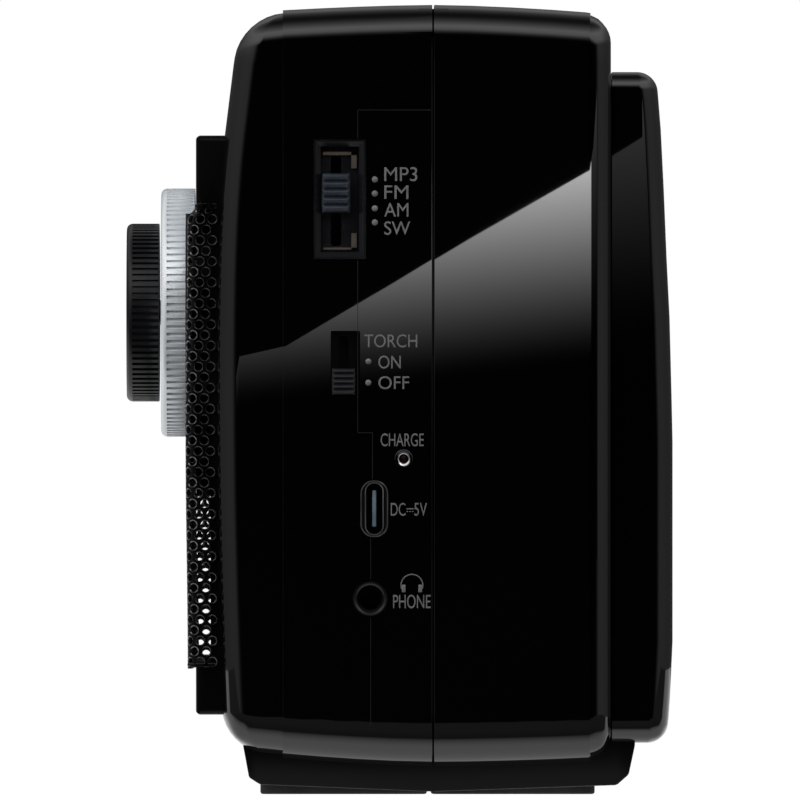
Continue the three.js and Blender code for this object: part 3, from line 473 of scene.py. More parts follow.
RUBBER = finish("foot_rubber", (0.008, 0.008, 0.008), 0.75, rough=(150, 0.65, 0.85),
                tint=(60, (0.006, 0.006, 0.006), (0.012, 0.012, 0.012)), grain=(1800, 0.03, 0.8))
CLEAR = finish("clear_moulding", (0.9, 0.92, 0.92), 0.03, rough=(40, 0.01, 0.05),
               inputs={"Transmission Weight": 1.0, "IOR": 1.49})
LAMP = finish("charge_lamp_lens", (0.03, 0.005, 0.004), 0.15, rough=(300, 0.1, 0.25),
              tint=(400, (0.02, 0.004, 0.003), (0.04, 0.007, 0.005)),
              inputs={"Transmission Weight": 0.3})
CARD = finish("scale_card_print", (0.82, 0.78, 0.66), 0.7, rough=(100, 0.6, 0.8),
              tint=(60, (0.76, 0.71, 0.58), (0.85, 0.81, 0.69)), grain=(1200, 0.01, 0.4))
INK = finish("scale_ink", (0.02, 0.018, 0.016), 0.6, rough=(300, 0.5, 0.7),
             tint=(200, (0.015, 0.013, 0.012), (0.03, 0.027, 0.025)))
RED = finish("pointer_red_moulding", (0.6, 0.04, 0.02), 0.3, rough=(150, 0.22, 0.4),
             tint=(120, (0.5, 0.03, 0.015), (0.68, 0.05, 0.03)))
BOARD = finish("circuit_board", (0.02, 0.12, 0.05), 0.45, rough=(200, 0.35, 0.55),
               tint=(150, (0.012, 0.08, 0.035), (0.03, 0.15, 0.07)), grain=(900, 0.03, 0.6))
CONE = finish("cone_paper", (0.03, 0.028, 0.026), 0.9, rough=(300, 0.8, 1.0),
              tint=(250, (0.02, 0.019, 0.018), (0.045, 0.042, 0.04)), grain=(1200, 0.06, 0.9))
SLEEVE = finish("battery_sleeve", (0.02, 0.09, 0.3), 0.35, rough=(100, 0.28, 0.45),
                tint=(60, (0.015, 0.07, 0.24), (0.03, 0.11, 0.35)), grain=(500, 0.03, 0.4))
FERRITE = finish("ferrite", (0.03, 0.03, 0.032), 0.6, rough=(200, 0.5, 0.7),
                 tint=(120, (0.02, 0.02, 0.022), (0.045, 0.045, 0.048)), grain=(1500, 0.04, 0.8))


# ------------------------------------------------------------------ cabinet

def front_line(z):
    """How far forward the cabinet's front stands at a height."""
    if z > 112:
        return -29.6 + 0.124 * (z - 112)
    if z > FRONT_PEAK_Z:
        return FRONT_PEAK_Y + 1.7 * ((z - FRONT_PEAK_Z) / 45) ** 3
    return FRONT_PEAK_Y + 1.3 * ((FRONT_PEAK_Z - z) / 53.3) ** 1.7


def top_line(y):
    if y < PARTING_Y:
        return TOP_Z - BELT_RISE - 0.9 * ((PARTING_Y - y) / 25.5) ** 1.6
    return TOP_Z - BELT_RISE - 1.2 * ((y - PARTING_Y) / 25.6) ** 1.6


def bottom_line(y):
    if y < PARTING_Y:
        return BOTTOM_Z + BELT_RISE + 1.4 * ((PARTING_Y - y) / 25.5) ** 1.6
    return BOTTOM_Z + BELT_RISE + 0.7 * ((y - PARTING_Y) / 25.5) ** 1.6


SIDE_TOP_RADIUS = 5.2
SIDE_FRONT_RADIUS = 4.2
SIDE_REAR_RADIUS = 3.0
TOP_FRONT_RADIUS = 7.2
BOTTOM_FRONT_RADIUS = 6.6
REAR_RADIUS = 4.4


def cabinet_edge_radius(a, b):
    """The radius of each edge of the plain block, by where it runs."""
    half = FACE_X - BELT_RISE - 0.1
    side = abs(a.x) > half and abs(b.x) > half and a.x * b.x > 0
    high = min(a.z, b.z) > TOP_Z - 4
    low = max(a.z, b.z) < BOTTOM_Z + 4
    front = max(a.y, b.y) < -26
    rear = min(a.y, b.y) > BODY_REAR_Y - 0.1
    if side and (high or low):
        return SIDE_TOP_RADIUS
    if side and front:
        return SIDE_FRONT_RADIUS
    if side and rear:
        return SIDE_REAR_RADIUS
    if high and front:
        return TOP_FRONT_RADIUS
    if low and front:
        return BOTTOM_FRONT_RADIUS
    if (high or low) and rear:
        return REAR_RADIUS
    return 0.0


def make_cabinet():
    half = FACE_X - BELT_RISE
    foremost = front_line(BOTTOM_Z)
    body = block("cabinet", (-half, foremost, BOTTOM_Z), (half, BODY_REAR_Y, TOP_Z))
    heights = [*range(14, 68, 6), 67, *range(72, 113, 5), 118, 124]
    depths = [-19.7, -13, -7, -1, 5.8, 12, 19, 26]
    slice_at(body, "z", heights)
    slice_at(body, "y", depths)
    for z in [*heights, TOP_Z]:
        shift = front_line(z) - foremost
        nudge(body, lambda p: p.y < foremost + 0.01 and abs(p.z - z) < 0.01, (0, shift, 0))
    for y in [front_line(TOP_Z), *depths, BODY_REAR_Y]:
        nudge(body, lambda p: p.z > TOP_Z - 0.01 and abs(p.y - y) < 0.05, (0, 0, top_line(y) - TOP_Z))
    for y in [foremost, *depths, BODY_REAR_Y]:
        lift = bottom_line(y) - BOTTOM_Z
        nudge(body, lambda p: p.z < BOTTOM_Z + 0.01 and abs(p.y - y) < 0.05, (0, 0, lift))
    round_edges(body, cabinet_edge_radius)
    raise_belt(body)
    return body


def raise_belt(body):
    """Lifts the band between the two steps."""
    slice_at(body, "y", [BELT_FRONT_Y, BELT_REAR_Y])
    pick(body, lambda c, n: BELT_FRONT_Y < c.y < BELT_REAR_Y, "FACE")
    bpy.ops.mesh.extrude_region_shrink_fatten(
        TRANSFORM_OT_shrink_fatten={"value": BELT_RISE * MM, "use_even_offset": True})
    bpy.ops.object.mode_set(mode="OBJECT")


def cutter_block(low, high, axis=None, radius=0.0):
    """A block to cut with, its corners rounded round one axis."""
    cutter = block("cutter", low, high)
    if axis:
        along = "xyz".index(axis)
        length = (high[along] - low[along]) * 0.9
        bevel_where(cutter, lambda a, b: abs(a[along] - b[along]) > length, radius, 6)
    return cutter


def cutter_rod(axis, centre, radius, low, high, sides=48):
    return cylinder("cutter", axis, centre, radius, low, high, sides)


def shell_half(body, name, above):
    edge = PARTING_Y + (PARTING_GAP / 2 if above else -PARTING_GAP / 2)
    shell = copy_of(body, name)
    keep_side(shell, "y", edge, above, fill=True)
    return shell


def cut_front_shell(shell):
    inside = FACE_X - BELT_RISE - WALL
    openings = [
        cutter_block((-inside, -25, 9), (inside, 9, 129.5)),
        cutter_block((-inside, -28.3, 16), (inside, -24, 110)),
        cutter_rod("y", (SPEAKER_X, SPEAKER_Z), SPEAKER_OPENING, -34, -20, 96),
        cutter_rod("y", (KNOB_X, KNOB_Z), SHAFT_HOLE, -34, -20),
        cutter_block((-89, -34, 100), (31, -20, 110.6), "y", 1.0),
    ]
    cut_away(shell, openings + button_holes(-34, 0.4) + side_openings())


def button_holes(front, gap, radius=0.0):
    """Cutters for the keys' openings, wider than the keys by a gap all round."""
    holes = []
    for node in BUTTONS:
        low, high = box_mm(node)
        holes.append(cutter_block((low.x - gap, front, low.z - gap), (high.x + gap, -20, high.z + gap),
                                  "y" if radius else None, radius))
    return holes


def make_insert_outline():
    """The fine joint line round the moulded panel that carries the switches and sockets."""
    runs = [((-7.05, -6.95), (61.5, 90.8)),
            ((-7.05, -6.95), (111.5, 116.3)),
            ((-7.05, 5.5), (116.25, 116.35)),
            ((-7.05, -4.5), (61.45, 61.55)),
            ((-4.55, -4.45), (53.6, 61.5)),
            ((-4.85, -4.75), (36.6, 43.6)),
            ((-4.85, -4.75), (11.9, 30.0))]
    lines = [block("insert_joint_line", (FACE_X - 0.1, ys[0], zs[0]), (FACE_X + 0.03, ys[1], zs[1]))
             for ys, zs in runs]
    line = join("insert_joint_line", lines)
    smooth(line)
    place_piece(line, "cabinet", JOINT_LINE, ["front_shell"])


def side_openings():
    """What the switches, sockets, lamp, card slot and torch need in the two ends."""
    inner, outer = FACE_X - 6, FACE_X + 1
    low, high = box_mm("band_switch_bezel")
    band = cutter_block((inner, low.y - 0.1, low.z - 0.1), (outer, high.y + 0.1, high.z + 0.1), "x", 0.5)
    torch = cutter_block((inner, -11.6, 68.3 - 0.5), (outer, -6.6, 78.8), "x", 0.25)
    usb = cutter_block((inner, USB_Y - 2.35, USB_Z - 4.82), (outer, USB_Y + 2.35, USB_Z + 4.82), "x", 2.2)
    jack = cutter_rod("x", (JACK_Y, JACK_Z), 3.1, inner, outer)
    lamp = cutter_rod("x", (LAMP_Y, LAMP_Z), 1.65, inner, outer)
    card = cutter_block((-outer, -14, 53.4), (-inner, -2, 56.6), "x", 0.4)
    lens = cutter_rod("x", (TORCH_Y, TORCH_Z), 11.2, -outer, -inner, 96)
    return [band, torch, usb, jack, lamp, card, lens]


def cut_rear_shell(shell):
    inside = FACE_X - BELT_RISE - WALL
    tray_low, tray_high = box_mm("battery_tray")
    cut_away(shell, [
        cutter_block((-inside, 2, 9), (inside, 25.5, 130.5)),
        cutter_block((-inside, 25, 9), (inside, 33.5, 121.9)),
        cutter_block((-120, 28, 124.4), (90, 45, 150)),
        cutter_block((tray_low.x - 0.3, 30, tray_low.z - 0.3), (tray_high.x + 0.3, 40, tray_high.z + 0.3)),
    ])


def make_plinth(name, above):
    """Half of the base under the cabinet, wider at the back than at the front."""
    base = block(name, (-92, -26.5, 0.5), (92, 40.1, 10))
    slice_at(base, "y", [-25.5, -23.6, 5.8, 37, 39.05])
    for y, z in [(-26.5, 8.3), (-25.5, 2.9), (-23.6, 1.7), (37, 1.6), (39.05, 3.4), (40.1, 8.3)]:
        nudge(base, lambda p: p.z < 2 and abs(p.y - y) < 0.01, (0, 0, z - 0.5))
    keep_side(base, "y", PARTING_Y, above, fill=True)
    bevel_where(base, lambda a, b: max(a.z, b.z) < 9 and abs(a.x - b.x) < 0.1, 0.6, 3)
    smooth(base, 25)
    return base


def make_case():
    body = make_cabinet()
    front = shell_half(body, "front_shell_moulding", above=False)
    rear = shell_half(body, "rear_shell_moulding", above=True)
    bpy.data.objects.remove(body)
    cut_front_shell(front)
    cut_rear_shell(rear)
    for shell, node in ((front, "front_shell"), (rear, "rear_shell")):
        for y, width in ((BELT_FRONT_Y, 0.4), (PARTING_Y - 0.15, 0.12), (PARTING_Y + 0.15, 0.12)):
            bevel_where(shell, lambda a, b: max(abs(a.y - y), abs(b.y - y)) < 0.02
                        and at_rise(a) and at_rise(b), width, 3)
        even_normals(shell, 30)
        place_piece(shell, "cabinet", GLOSS, [node])
    lips = [block("parting_lip", (x - 1.2, 3.4, 9), (x + 1.2, 8.4, 130)) for x in (-95.6, 95.6)]
    lips.append(block("parting_lip", (-95, 3.4, 129.2), (95, 8.4, 133.5)))
    lips.append(block("parting_lip", (-95, 3.4, 5.7), (95, 8.4, 10)))
    place_piece(join("parting_lip", lips), "cabinet", SATIN, ["rear_shell"])
    for name, above, node in (("front_plinth", False, "front_shell"), ("rear_plinth", True, "rear_shell")):
        place_piece(make_plinth(name, above), "cabinet", SATIN, [node])


def at_rise(point):
    return abs(point.x) > FACE_X - 0.02 or point.z > TOP_Z - 2 or point.z < BOTTOM_Z + 2


# ------------------------------------------------------------------ the back

COVER_LINE = [(8.8, 45.4), (13, 45.8), (16, 46.0), (19.5, 46.2), (26, 46.5), (60, 46.5), (67, 46.35),
              (81, 46.0), (91, 45.5), (103, 45.0), (113, 44.5), (118, 44.1), (122.8, 43.7)]


def make_rear_cover():
    cover = block("rear_cover_moulding", (COVER_LOW.x, 36.2, COVER_LOW.z),
                  (COVER_HIGH.x, 46.5, COVER_HIGH.z))
    slice_at(cover, "z", [z for z, y in COVER_LINE[1:-1]])
    for z, y in COVER_LINE:
        nudge(cover, lambda p: p.y > 46 and abs(p.z - z) < 0.05, (0, y - 46.5, 0))
    round_edges(cover, cover_edge_radius)
    door_low, door_high = box_mm("battery_door")
    cutters = [
        cutter_block((-78, 30, 10.8), (78, 43.4, 120.8)),
        cutter_block((door_low.x - 0.3, 40, door_low.z - 0.3), (door_high.x + 0.3, 50, door_high.z + 0.3)),
    ]
    for node in SCREWS:
        low, high = box_mm(node)
        x, z = (low.x + high.x) / 2, (low.z + high.z) / 2
        cutters.append(cutter_rod("y", (x, z), SCREW_WELL, 36.9, 50))
    cut_away(cover, cutters)
    even_normals(cover, 30)
    place_piece(cover, "cabinet", GLOSS, ["rear_cover"])


def cover_edge_radius(a, b):
    side = abs(a.x) > 90 and a.x * b.x > 0
    ends = abs(a.z - b.z) < 0.1 and (a.z > 120 or a.z < 10)
    if min(a.y, b.y) < 37:
        return 3.0 if side and ends and abs(a.y - b.y) > 5 else 0.0
    return 3.2 if side or ends else 0.0


def make_battery_door():
    low, high = box_mm("battery_door")
    door = block("battery_door_moulding", (low.x, 44.5, low.z), (high.x, high.y, high.z))
    bevel_where(door, lambda a, b: abs(a.y - b.y) > 1.5, 1.2, 5)
    grips = []
    for step in range(5):
        x = -8 + 4 * step
        grips.append(cutter_block((x - 0.7, 46.0, high.z - 9), (x + 0.7, 48, high.z - 4), "y", 0.6))
    soften(door, 0.3, 3, 40)
    cut_away(door, grips)
    ribs = block("battery_door_hinge_rib", (low.x + 6, low.y, low.z + 0.3),
                 (high.x - 6, 44.6, low.z + 1.7))
    door = join("battery_door_moulding", [door, ribs])
    even_normals(door, 30)
    place_piece(door, "battery_door", GLOSS, ["battery_door"])


def make_screw(node):
    """A pan-headed cross-slot screw sunk in its well."""
    low, high = box_mm(node)
    x, z = (low.x + high.x) / 2, (low.z + high.z) / 2
    top = high.y
    profile = [(0, top - 5.2), (1.3, top - 5.2), (1.3, top - 1.6), (2.65, top - 1.6), (2.65, top - 0.7),
               (2.2, top - 0.25), (1.2, top), (0, top)]
    screw = spun(node + "_turned", "y", (x, z), profile, 32)
    cut_away(screw, [
        cutter_block((x - 1.5, top - 0.9, z - 0.3), (x + 1.5, top + 1, z + 0.3)),
        cutter_block((x - 0.3, top - 0.9, z - 1.5), (x + 0.3, top + 1, z + 1.5)),
    ])
    smooth(screw)
    place_piece(screw, "cabinet", STEEL, [node])


# ------------------------------------------------------------------ the front

GRILLE_TOP = 100.5
GRILLE_BOTTOM = 21.6
GRILLE_FACE = -35.9
GRILLE_BACK = -31.2
GRILLE_EDGE = 1.5
GRILLE_SHEET = 0.7
HOLE_PITCH = 2.067
HOLE_RADIUS = 0.75
CUT_OUT = 23.5


def make_front_panel():
    panel = block("front_panel_moulding", (PANEL_LOW.x, PANEL_LOW.y, PANEL_LOW.z),
                  (PANEL_HIGH.x, -29.2, PANEL_TOP_Z))
    bevel_where(panel, lambda a, b: max(a.y, b.y) < PANEL_LOW.y + 0.1, 0.7, 4)
    bevel_where(panel, lambda a, b: abs(a.y - b.y) > 3, 1.0, 4)
    window_low, window_high = box_mm("dial_window")
    cutters = [
        cutter_block((-96, -40, GRILLE_BOTTOM + 0.1), (96, -32.0, GRILLE_TOP - 0.1)),
        cutter_block((window_low.x - 0.3, -40, window_low.z - 0.3),
                     (window_high.x + 0.3, -20, window_high.z + 0.3), "y", 0.8),
        cutter_rod("y", (SPEAKER_X, SPEAKER_Z), SPEAKER_OPENING, -40, -20, 96),
        cutter_rod("y", (KNOB_X, KNOB_Z), SHAFT_HOLE, -40, -20),
        cutter_block((window_low.x, -33.0, 100.4), (window_high.x, -20, 103)),
    ]
    cut_away(panel, cutters + button_holes(-40, 0.35, 0.6))
    smooth(panel, 30)
    place_piece(panel, "cabinet", SATIN, ["front_panel"])
    boss = cylinder("knob_well_boss", "y", (KNOB_X, KNOB_Z), 31.4, -34.6, -31.6, 96)
    keep_side(boss, "z", GRILLE_TOP - 0.2, above=False, fill=True)
    cut_away(boss, [cutter_rod("y", (KNOB_X, KNOB_Z), SHAFT_HOLE, -40, -20)])
    smooth(boss, 30)
    place_piece(boss, "cabinet", SATIN, ["front_panel"])


def perforated_tile(dimpled):
    """One six-sided cell of the sheet with a round hole in it, lying in the XZ plane."""
    corner = HOLE_PITCH / math.sqrt(3)
    bpy.ops.object.select_all(action="DESELECT")
    bpy.ops.mesh.primitive_circle_add(vertices=6, radius=corner * MM, fill_type="NGON",
                                      rotation=(math.pi / 2, 0, 0))
    tile = settle(bpy.context.object, "grille_cell")
    bpy.ops.object.mode_set(mode="EDIT")
    bpy.ops.mesh.select_all(action="SELECT")
    bpy.ops.mesh.subdivide(number_cuts=1)
    bpy.ops.mesh.select_all(action="SELECT")
    bpy.ops.mesh.inset(thickness=0.12 * MM)
    bpy.ops.mesh.select_mode(type="VERT")
    bpy.ops.transform.tosphere(value=1.0)
    done()
    size_ring(tile, HOLE_RADIUS + 0.1 if dimpled else HOLE_RADIUS)
    pick(tile, lambda c, n: c.length < 0.1, "FACE")
    if dimpled:
        bpy.ops.mesh.inset(thickness=0.15 * MM)
        bpy.ops.transform.translate(value=(0, -0.16 * MM, 0))
    bpy.ops.mesh.delete(type="FACE")
    done()
    if dimpled:
        # The dimple's rim takes the lighter metal: a painted highlight on the black sheet.
        two_tone(tile, GRILLE, HOLE_RIM_HIGHLIGHT, lambda face: face.center.length / MM < HOLE_RADIUS + 0.08)
    return tile


def size_ring(tile, radius):
    """Brings the innermost ring of points to a radius."""
    reached = min(v.co.length for v in tile.data.vertices) / MM
    pick(tile, lambda p: p.length < reached + 0.01)
    factor = radius / reached
    bpy.ops.transform.resize(value=(factor, factor, factor), center_override=(0, 0, 0))
    done()


def grille_path():
    """The line the sheet follows seen from above: along the end, round the corner, to the middle."""
    edge = GRILLE_HIGH.x
    points = [(edge, GRILLE_BACK), (edge, GRILLE_FACE + GRILLE_EDGE)]
    for step in range(1, 9):
        turn = math.radians(90 * step / 8)
        points.append((edge - GRILLE_EDGE + GRILLE_EDGE * math.cos(turn),
                       GRILLE_FACE + GRILLE_EDGE - GRILLE_EDGE * math.sin(turn)))
    points.append((-8, GRILLE_FACE))
    bpy.ops.object.select_all(action="DESELECT")
    bpy.ops.mesh.primitive_plane_add(size=MM, location=(points[0][0] * MM, points[0][1] * MM, 0))
    path = settle(bpy.context.object, "grille_path")
    bpy.ops.object.mode_set(mode="EDIT")
    bpy.ops.mesh.select_mode(type="VERT")
    bpy.ops.mesh.select_all(action="SELECT")
    bpy.ops.mesh.merge(type="CENTER")
    for before, after in zip(points, points[1:]):
        step = ((after[0] - before[0]) * MM, (after[1] - before[1]) * MM, 0)
        bpy.ops.mesh.extrude_vertices_move(TRANSFORM_OT_translate={"value": step})
    bpy.ops.object.mode_set(mode="OBJECT")
    only(path)
    bpy.ops.object.convert(target="CURVE")
    return bpy.context.object


END_COLUMNS = 5
COLUMNS = 48
ROW = HOLE_PITCH * math.sqrt(3) / 2


def perforated_strip(name, first, columns, dimpled):
    """Columns of cells, counted along the sheet from its back edge at the +X end, bent to shape."""
    strip = perforated_tile(dimpled)
    array(strip, 2, (HOLE_PITCH / 2, 0, ROW))
    array(strip, columns, (HOLE_PITCH, 0, 0))
    array(strip, 22, (0, 0, 2 * ROW))
    only(strip)
    strip.location = ((HOLE_PITCH / 4 + first * HOLE_PITCH) * MM, 0, (GRILLE_BOTTOM + ROW / 2 + 0.1) * MM)
    settle(strip, name)
    pick_all(strip)
    bpy.ops.mesh.remove_doubles(threshold=0.02 * MM)
    done()
    path = grille_path()
    apply_modifier(strip, "CURVE", object=path, deform_axis="POS_X")
    bpy.data.objects.remove(path)
    return strip


def make_grille():
    """Perforated sheet in two halves, wrapped round the ends, with an eased edge above and below."""
    end = perforated_strip("grille_end_right", 0, END_COLUMNS, True)
    front = perforated_strip("grille_front_right", END_COLUMNS, COLUMNS - END_COLUMNS, False)
    keep_side(front, "x", 0, above=True)
    parts = [end, front]
    for part in (end, front):
        twin = copy_of(part, part.name.replace("right", "left"))
        only(twin)
        twin.scale = (-1, 1, 1)
        parts.append(settle(twin, twin.name))
    pick(front, lambda c, n: math.hypot(c.x - KNOB_X, c.z - KNOB_Z) < CUT_OUT + 0.9, "FACE")
    bpy.ops.mesh.delete(type="FACE")
    done()
    for part in parts:
        bow_out(part)
        ease_top(part)
        face_outward(part)
        apply_modifier(part, "SOLIDIFY", thickness=GRILLE_SHEET * MM, offset=-1.0)
        smooth(part, 30)
        place_piece(part, "cabinet", GRILLE, ["speaker_grille"])
    make_grille_edges()


def array(piece, count, offset):
    apply_modifier(piece, "ARRAY", count=count, use_relative_offset=False, use_constant_offset=True,
                   constant_offset_displace=[o * MM for o in offset])


def bow_out(half):
    """Lets the sheet stand a little prouder at mid height."""
    only(half)
    pick(half, lambda p: abs(p.z - 62) < 1.2)
    bpy.ops.transform.translate(value=(0, -0.38 * MM, 0), use_proportional_edit=True,
                                proportional_edit_falloff="SMOOTH", proportional_size=40 * MM)
    done()


def ease_top(part):
    """Draws the sheet's top edge back towards the cabinet."""
    pick(part, lambda p: p.z > 99.9)
    bpy.ops.transform.resize(value=(1, 0.7, 1), center_override=(0, GRILLE_BACK * MM, 0),
                             use_proportional_edit=True, proportional_edit_falloff="SMOOTH",
                             proportional_size=2.2 * MM)
    done()


def face_outward(part):
    """Turns an open sheet's faces away from the cabinet before it gets its thickness."""
    outward = 0.0
    for face in part.data.polygons:
        centre = face.center / MM
        if abs(centre.x) < 92:
            outward += -face.normal.y
        else:
            outward += face.normal.x * math.copysign(1, centre.x) - face.normal.y
    if outward < 0:
        pick_all(part)
        bpy.ops.mesh.flip_normals()
        done()


def make_grille_edges():
    for name, front, low_z, high_z in (
            ("grille_top_edge", GRILLE_FACE + 1.3, 99.5, GRILLE_TOP),
            ("grille_bottom_edge", GRILLE_FACE - 0.05, GRILLE_BOTTOM, 22.5)):
        edge = block(name, (GRILLE_LOW.x, front, low_z), (GRILLE_HIGH.x, -31.0, high_z))
        bevel_where(edge, lambda a, b: abs(a.z - b.z) > 0.5 and max(a.y, b.y) < front + 0.5, 1.4, 6)
        soften(edge, 0.35, 3, 40)
        place_piece(edge, "cabinet", GRILLE, ["speaker_grille"])
    rim = spun("grille_cut_out_rim", "y", (KNOB_X, KNOB_Z),
               [(CUT_OUT, -32.5), (CUT_OUT, -36.0), (CUT_OUT + 0.3, -36.35), (CUT_OUT + 1.9, -36.35),
                (CUT_OUT + 2.2, -36.0), (CUT_OUT + 2.2, -32.5), (CUT_OUT, -32.5)], 128)
    keep_side(rim, "z", GRILLE_TOP - 1.7, above=False, fill=True)
    smooth(rim, 40)
    place_piece(rim, "cabinet", GRILLE, ["speaker_grille"])


# ------------------------------------------------------------------ knobs

KNOB_RADIUS = 15.2
KNOB_RIBS = 84
RING_RADIUS = 21.2
RING_RIBS = 105


def ribbed_disc(name, radius, front, back, ribs, groove):
    """A disc on the knobs' axis with grooves cut along its rim, between ribs of the same width."""
    disc = cylinder(name, "y", (KNOB_X, KNOB_Z), radius, front, back, 2 * ribs)
    bevel_where(disc, lambda a, b: max(a.y, b.y) < front + 0.01, 1.0, 4)
    bevel_where(disc, lambda a, b: min(a.y, b.y) > back - 0.01, 0.12, 2)

    def every_other(centre, normal):
        if abs(normal.y) > 0.05:
            return False
        turn = math.atan2(centre.x - KNOB_X, centre.z - KNOB_Z) / (2 * math.pi)
        return int((turn + 1) * 2 * ribs) % 2 == 0

    pick(disc, every_other, "FACE")
    bpy.ops.mesh.inset(use_individual=True, thickness=0.05 * MM, depth=-groove * MM)
    done()
    return disc


def make_knobs():
    knob = ribbed_disc("volume_knob_turned", KNOB_RADIUS, KNOB_LOW.y, KNOB_HIGH.y, KNOB_RIBS, 0.4)
    pick(knob, lambda c, n: n.y < -0.99 and c.y < KNOB_LOW.y + 0.01, "FACE")
    bpy.ops.mesh.inset(thickness=1.6 * MM)
    bpy.ops.mesh.inset(thickness=0.4 * MM, depth=-0.35 * MM)
    bpy.ops.mesh.inset(thickness=8 * MM, depth=0.1 * MM)
    done()
    smooth(knob, 30)
    place_piece(knob, "volume_knob", KNOB, ["volume_knob"])
    line = block("volume_pointer_line", (KNOB_X - 0.45, KNOB_LOW.y + 0.05, KNOB_Z + 6.2),
                 (KNOB_X + 0.45, KNOB_LOW.y + 0.8, KNOB_Z + 12.6))
    soften(line, 0.12, 2)
    place_piece(line, "volume_knob", SILVER, ["volume_knob"])

    ring = ribbed_disc("tuning_ring_turned", RING_RADIUS, RING_LOW.y, RING_HIGH.y, RING_RIBS, 0.42)
    cut_away(ring, [cutter_rod("y", (KNOB_X, KNOB_Z), 6.1, -50, -30)])
    smooth(ring, 30)
    place_piece(ring, "tuning_ring", SILVER, ["tuning_ring"])


# ------------------------------------------------------------------ switches and sockets

SLIDER_RIBS = 5
RIB_FLANK = 0.37
RIB_HEIGHT = 0.55


def make_band_switch():
    low, high = box_mm("band_switch_bezel")
    bezel = block("band_bezel_moulding", (low.x, low.y, low.z), (high.x, high.y, high.z))
    pick(bezel, lambda c, n: n.x > 0.9, "FACE")
    bpy.ops.mesh.inset(thickness=0.35 * MM)
    bpy.ops.mesh.inset(thickness=0.85 * MM, depth=-0.75 * MM)
    bpy.ops.mesh.extrude_region_move(TRANSFORM_OT_translate={"value": (-1.2 * MM, 0, 0)})
    done()
    cut_away(bezel, [cutter_block((90, -11.6, 93.2), (99, -9.8, 108.4), "x", 0.6)])
    smooth(bezel, 20)
    place_piece(bezel, "cabinet", BEZEL, ["band_switch_bezel"])
    for name, z_tip, z_corner in (("upper_bracket", 106.4, 109.2), ("lower_bracket", 95.4, 92.6)):
        down = z_tip < z_corner
        bar_low, bar_high = (z_corner - 0.55, z_corner) if down else (z_corner, z_corner + 0.35)
        bar = block(name, (96.2, -12.9, bar_low), (96.7, -7.2, bar_high))
        leg = block(name, (96.2, -8.1, min(z_tip, z_corner)), (96.7, -7.2, max(z_tip, z_corner)))
        bracket = join(name, [bar, leg])
        smooth(bracket)
        place_piece(bracket, "cabinet", BRACKET, ["band_switch"])

    slider = ribbed_slider("band_slider_moulding", *box_mm("band_slider"), SLIDER_RIBS)
    place_piece(slider, "band_slider", SLIDER, ["band_slider"])


def ribbed_slider(name, low, high, ribs):
    """A slide button with sloping ribs across it and its stem behind."""
    slider = block(name, (high.x - 2.4, low.y, low.z), (high.x - 0.6, high.y, high.z))
    step = (high.z - low.z) / ribs
    slice_at(slider, "z", [low.z + step * n for n in range(1, ribs)])
    pick(slider, lambda c, n: n.x > 0.9, "FACE")
    bpy.ops.mesh.inset(use_individual=True, thickness=RIB_FLANK * MM, depth=RIB_HEIGHT * MM)
    done()
    soften(slider, 0.1, 2, 40)
    middle_y, middle_z = (low.y + high.y) / 2, (low.z + high.z) / 2
    stem = block(name, (low.x, middle_y - 0.7, middle_z - 1.4),
                 (high.x - 2.3, middle_y + 0.7, middle_z + 1.4))
    return join(name, [slider, stem])


def make_torch_switch():
    slider = ribbed_slider("torch_slider_moulding", *box_mm("torch_slider"), SLIDER_RIBS)
    place_piece(slider, "torch_slider", TORCH_KNOB, ["torch_slider"])
    floor = block("torch_switch_floor", (93.6, -12.2, 66.0), (94.2, -6.0, 79.4))
    cut_away(floor, [cutter_block((90, -10.2, 67.5), (99, -8.6, 77.9), "x", 0.5)])
    smooth(floor)
    place_piece(floor, "cabinet", SATIN, ["torch_switch"])


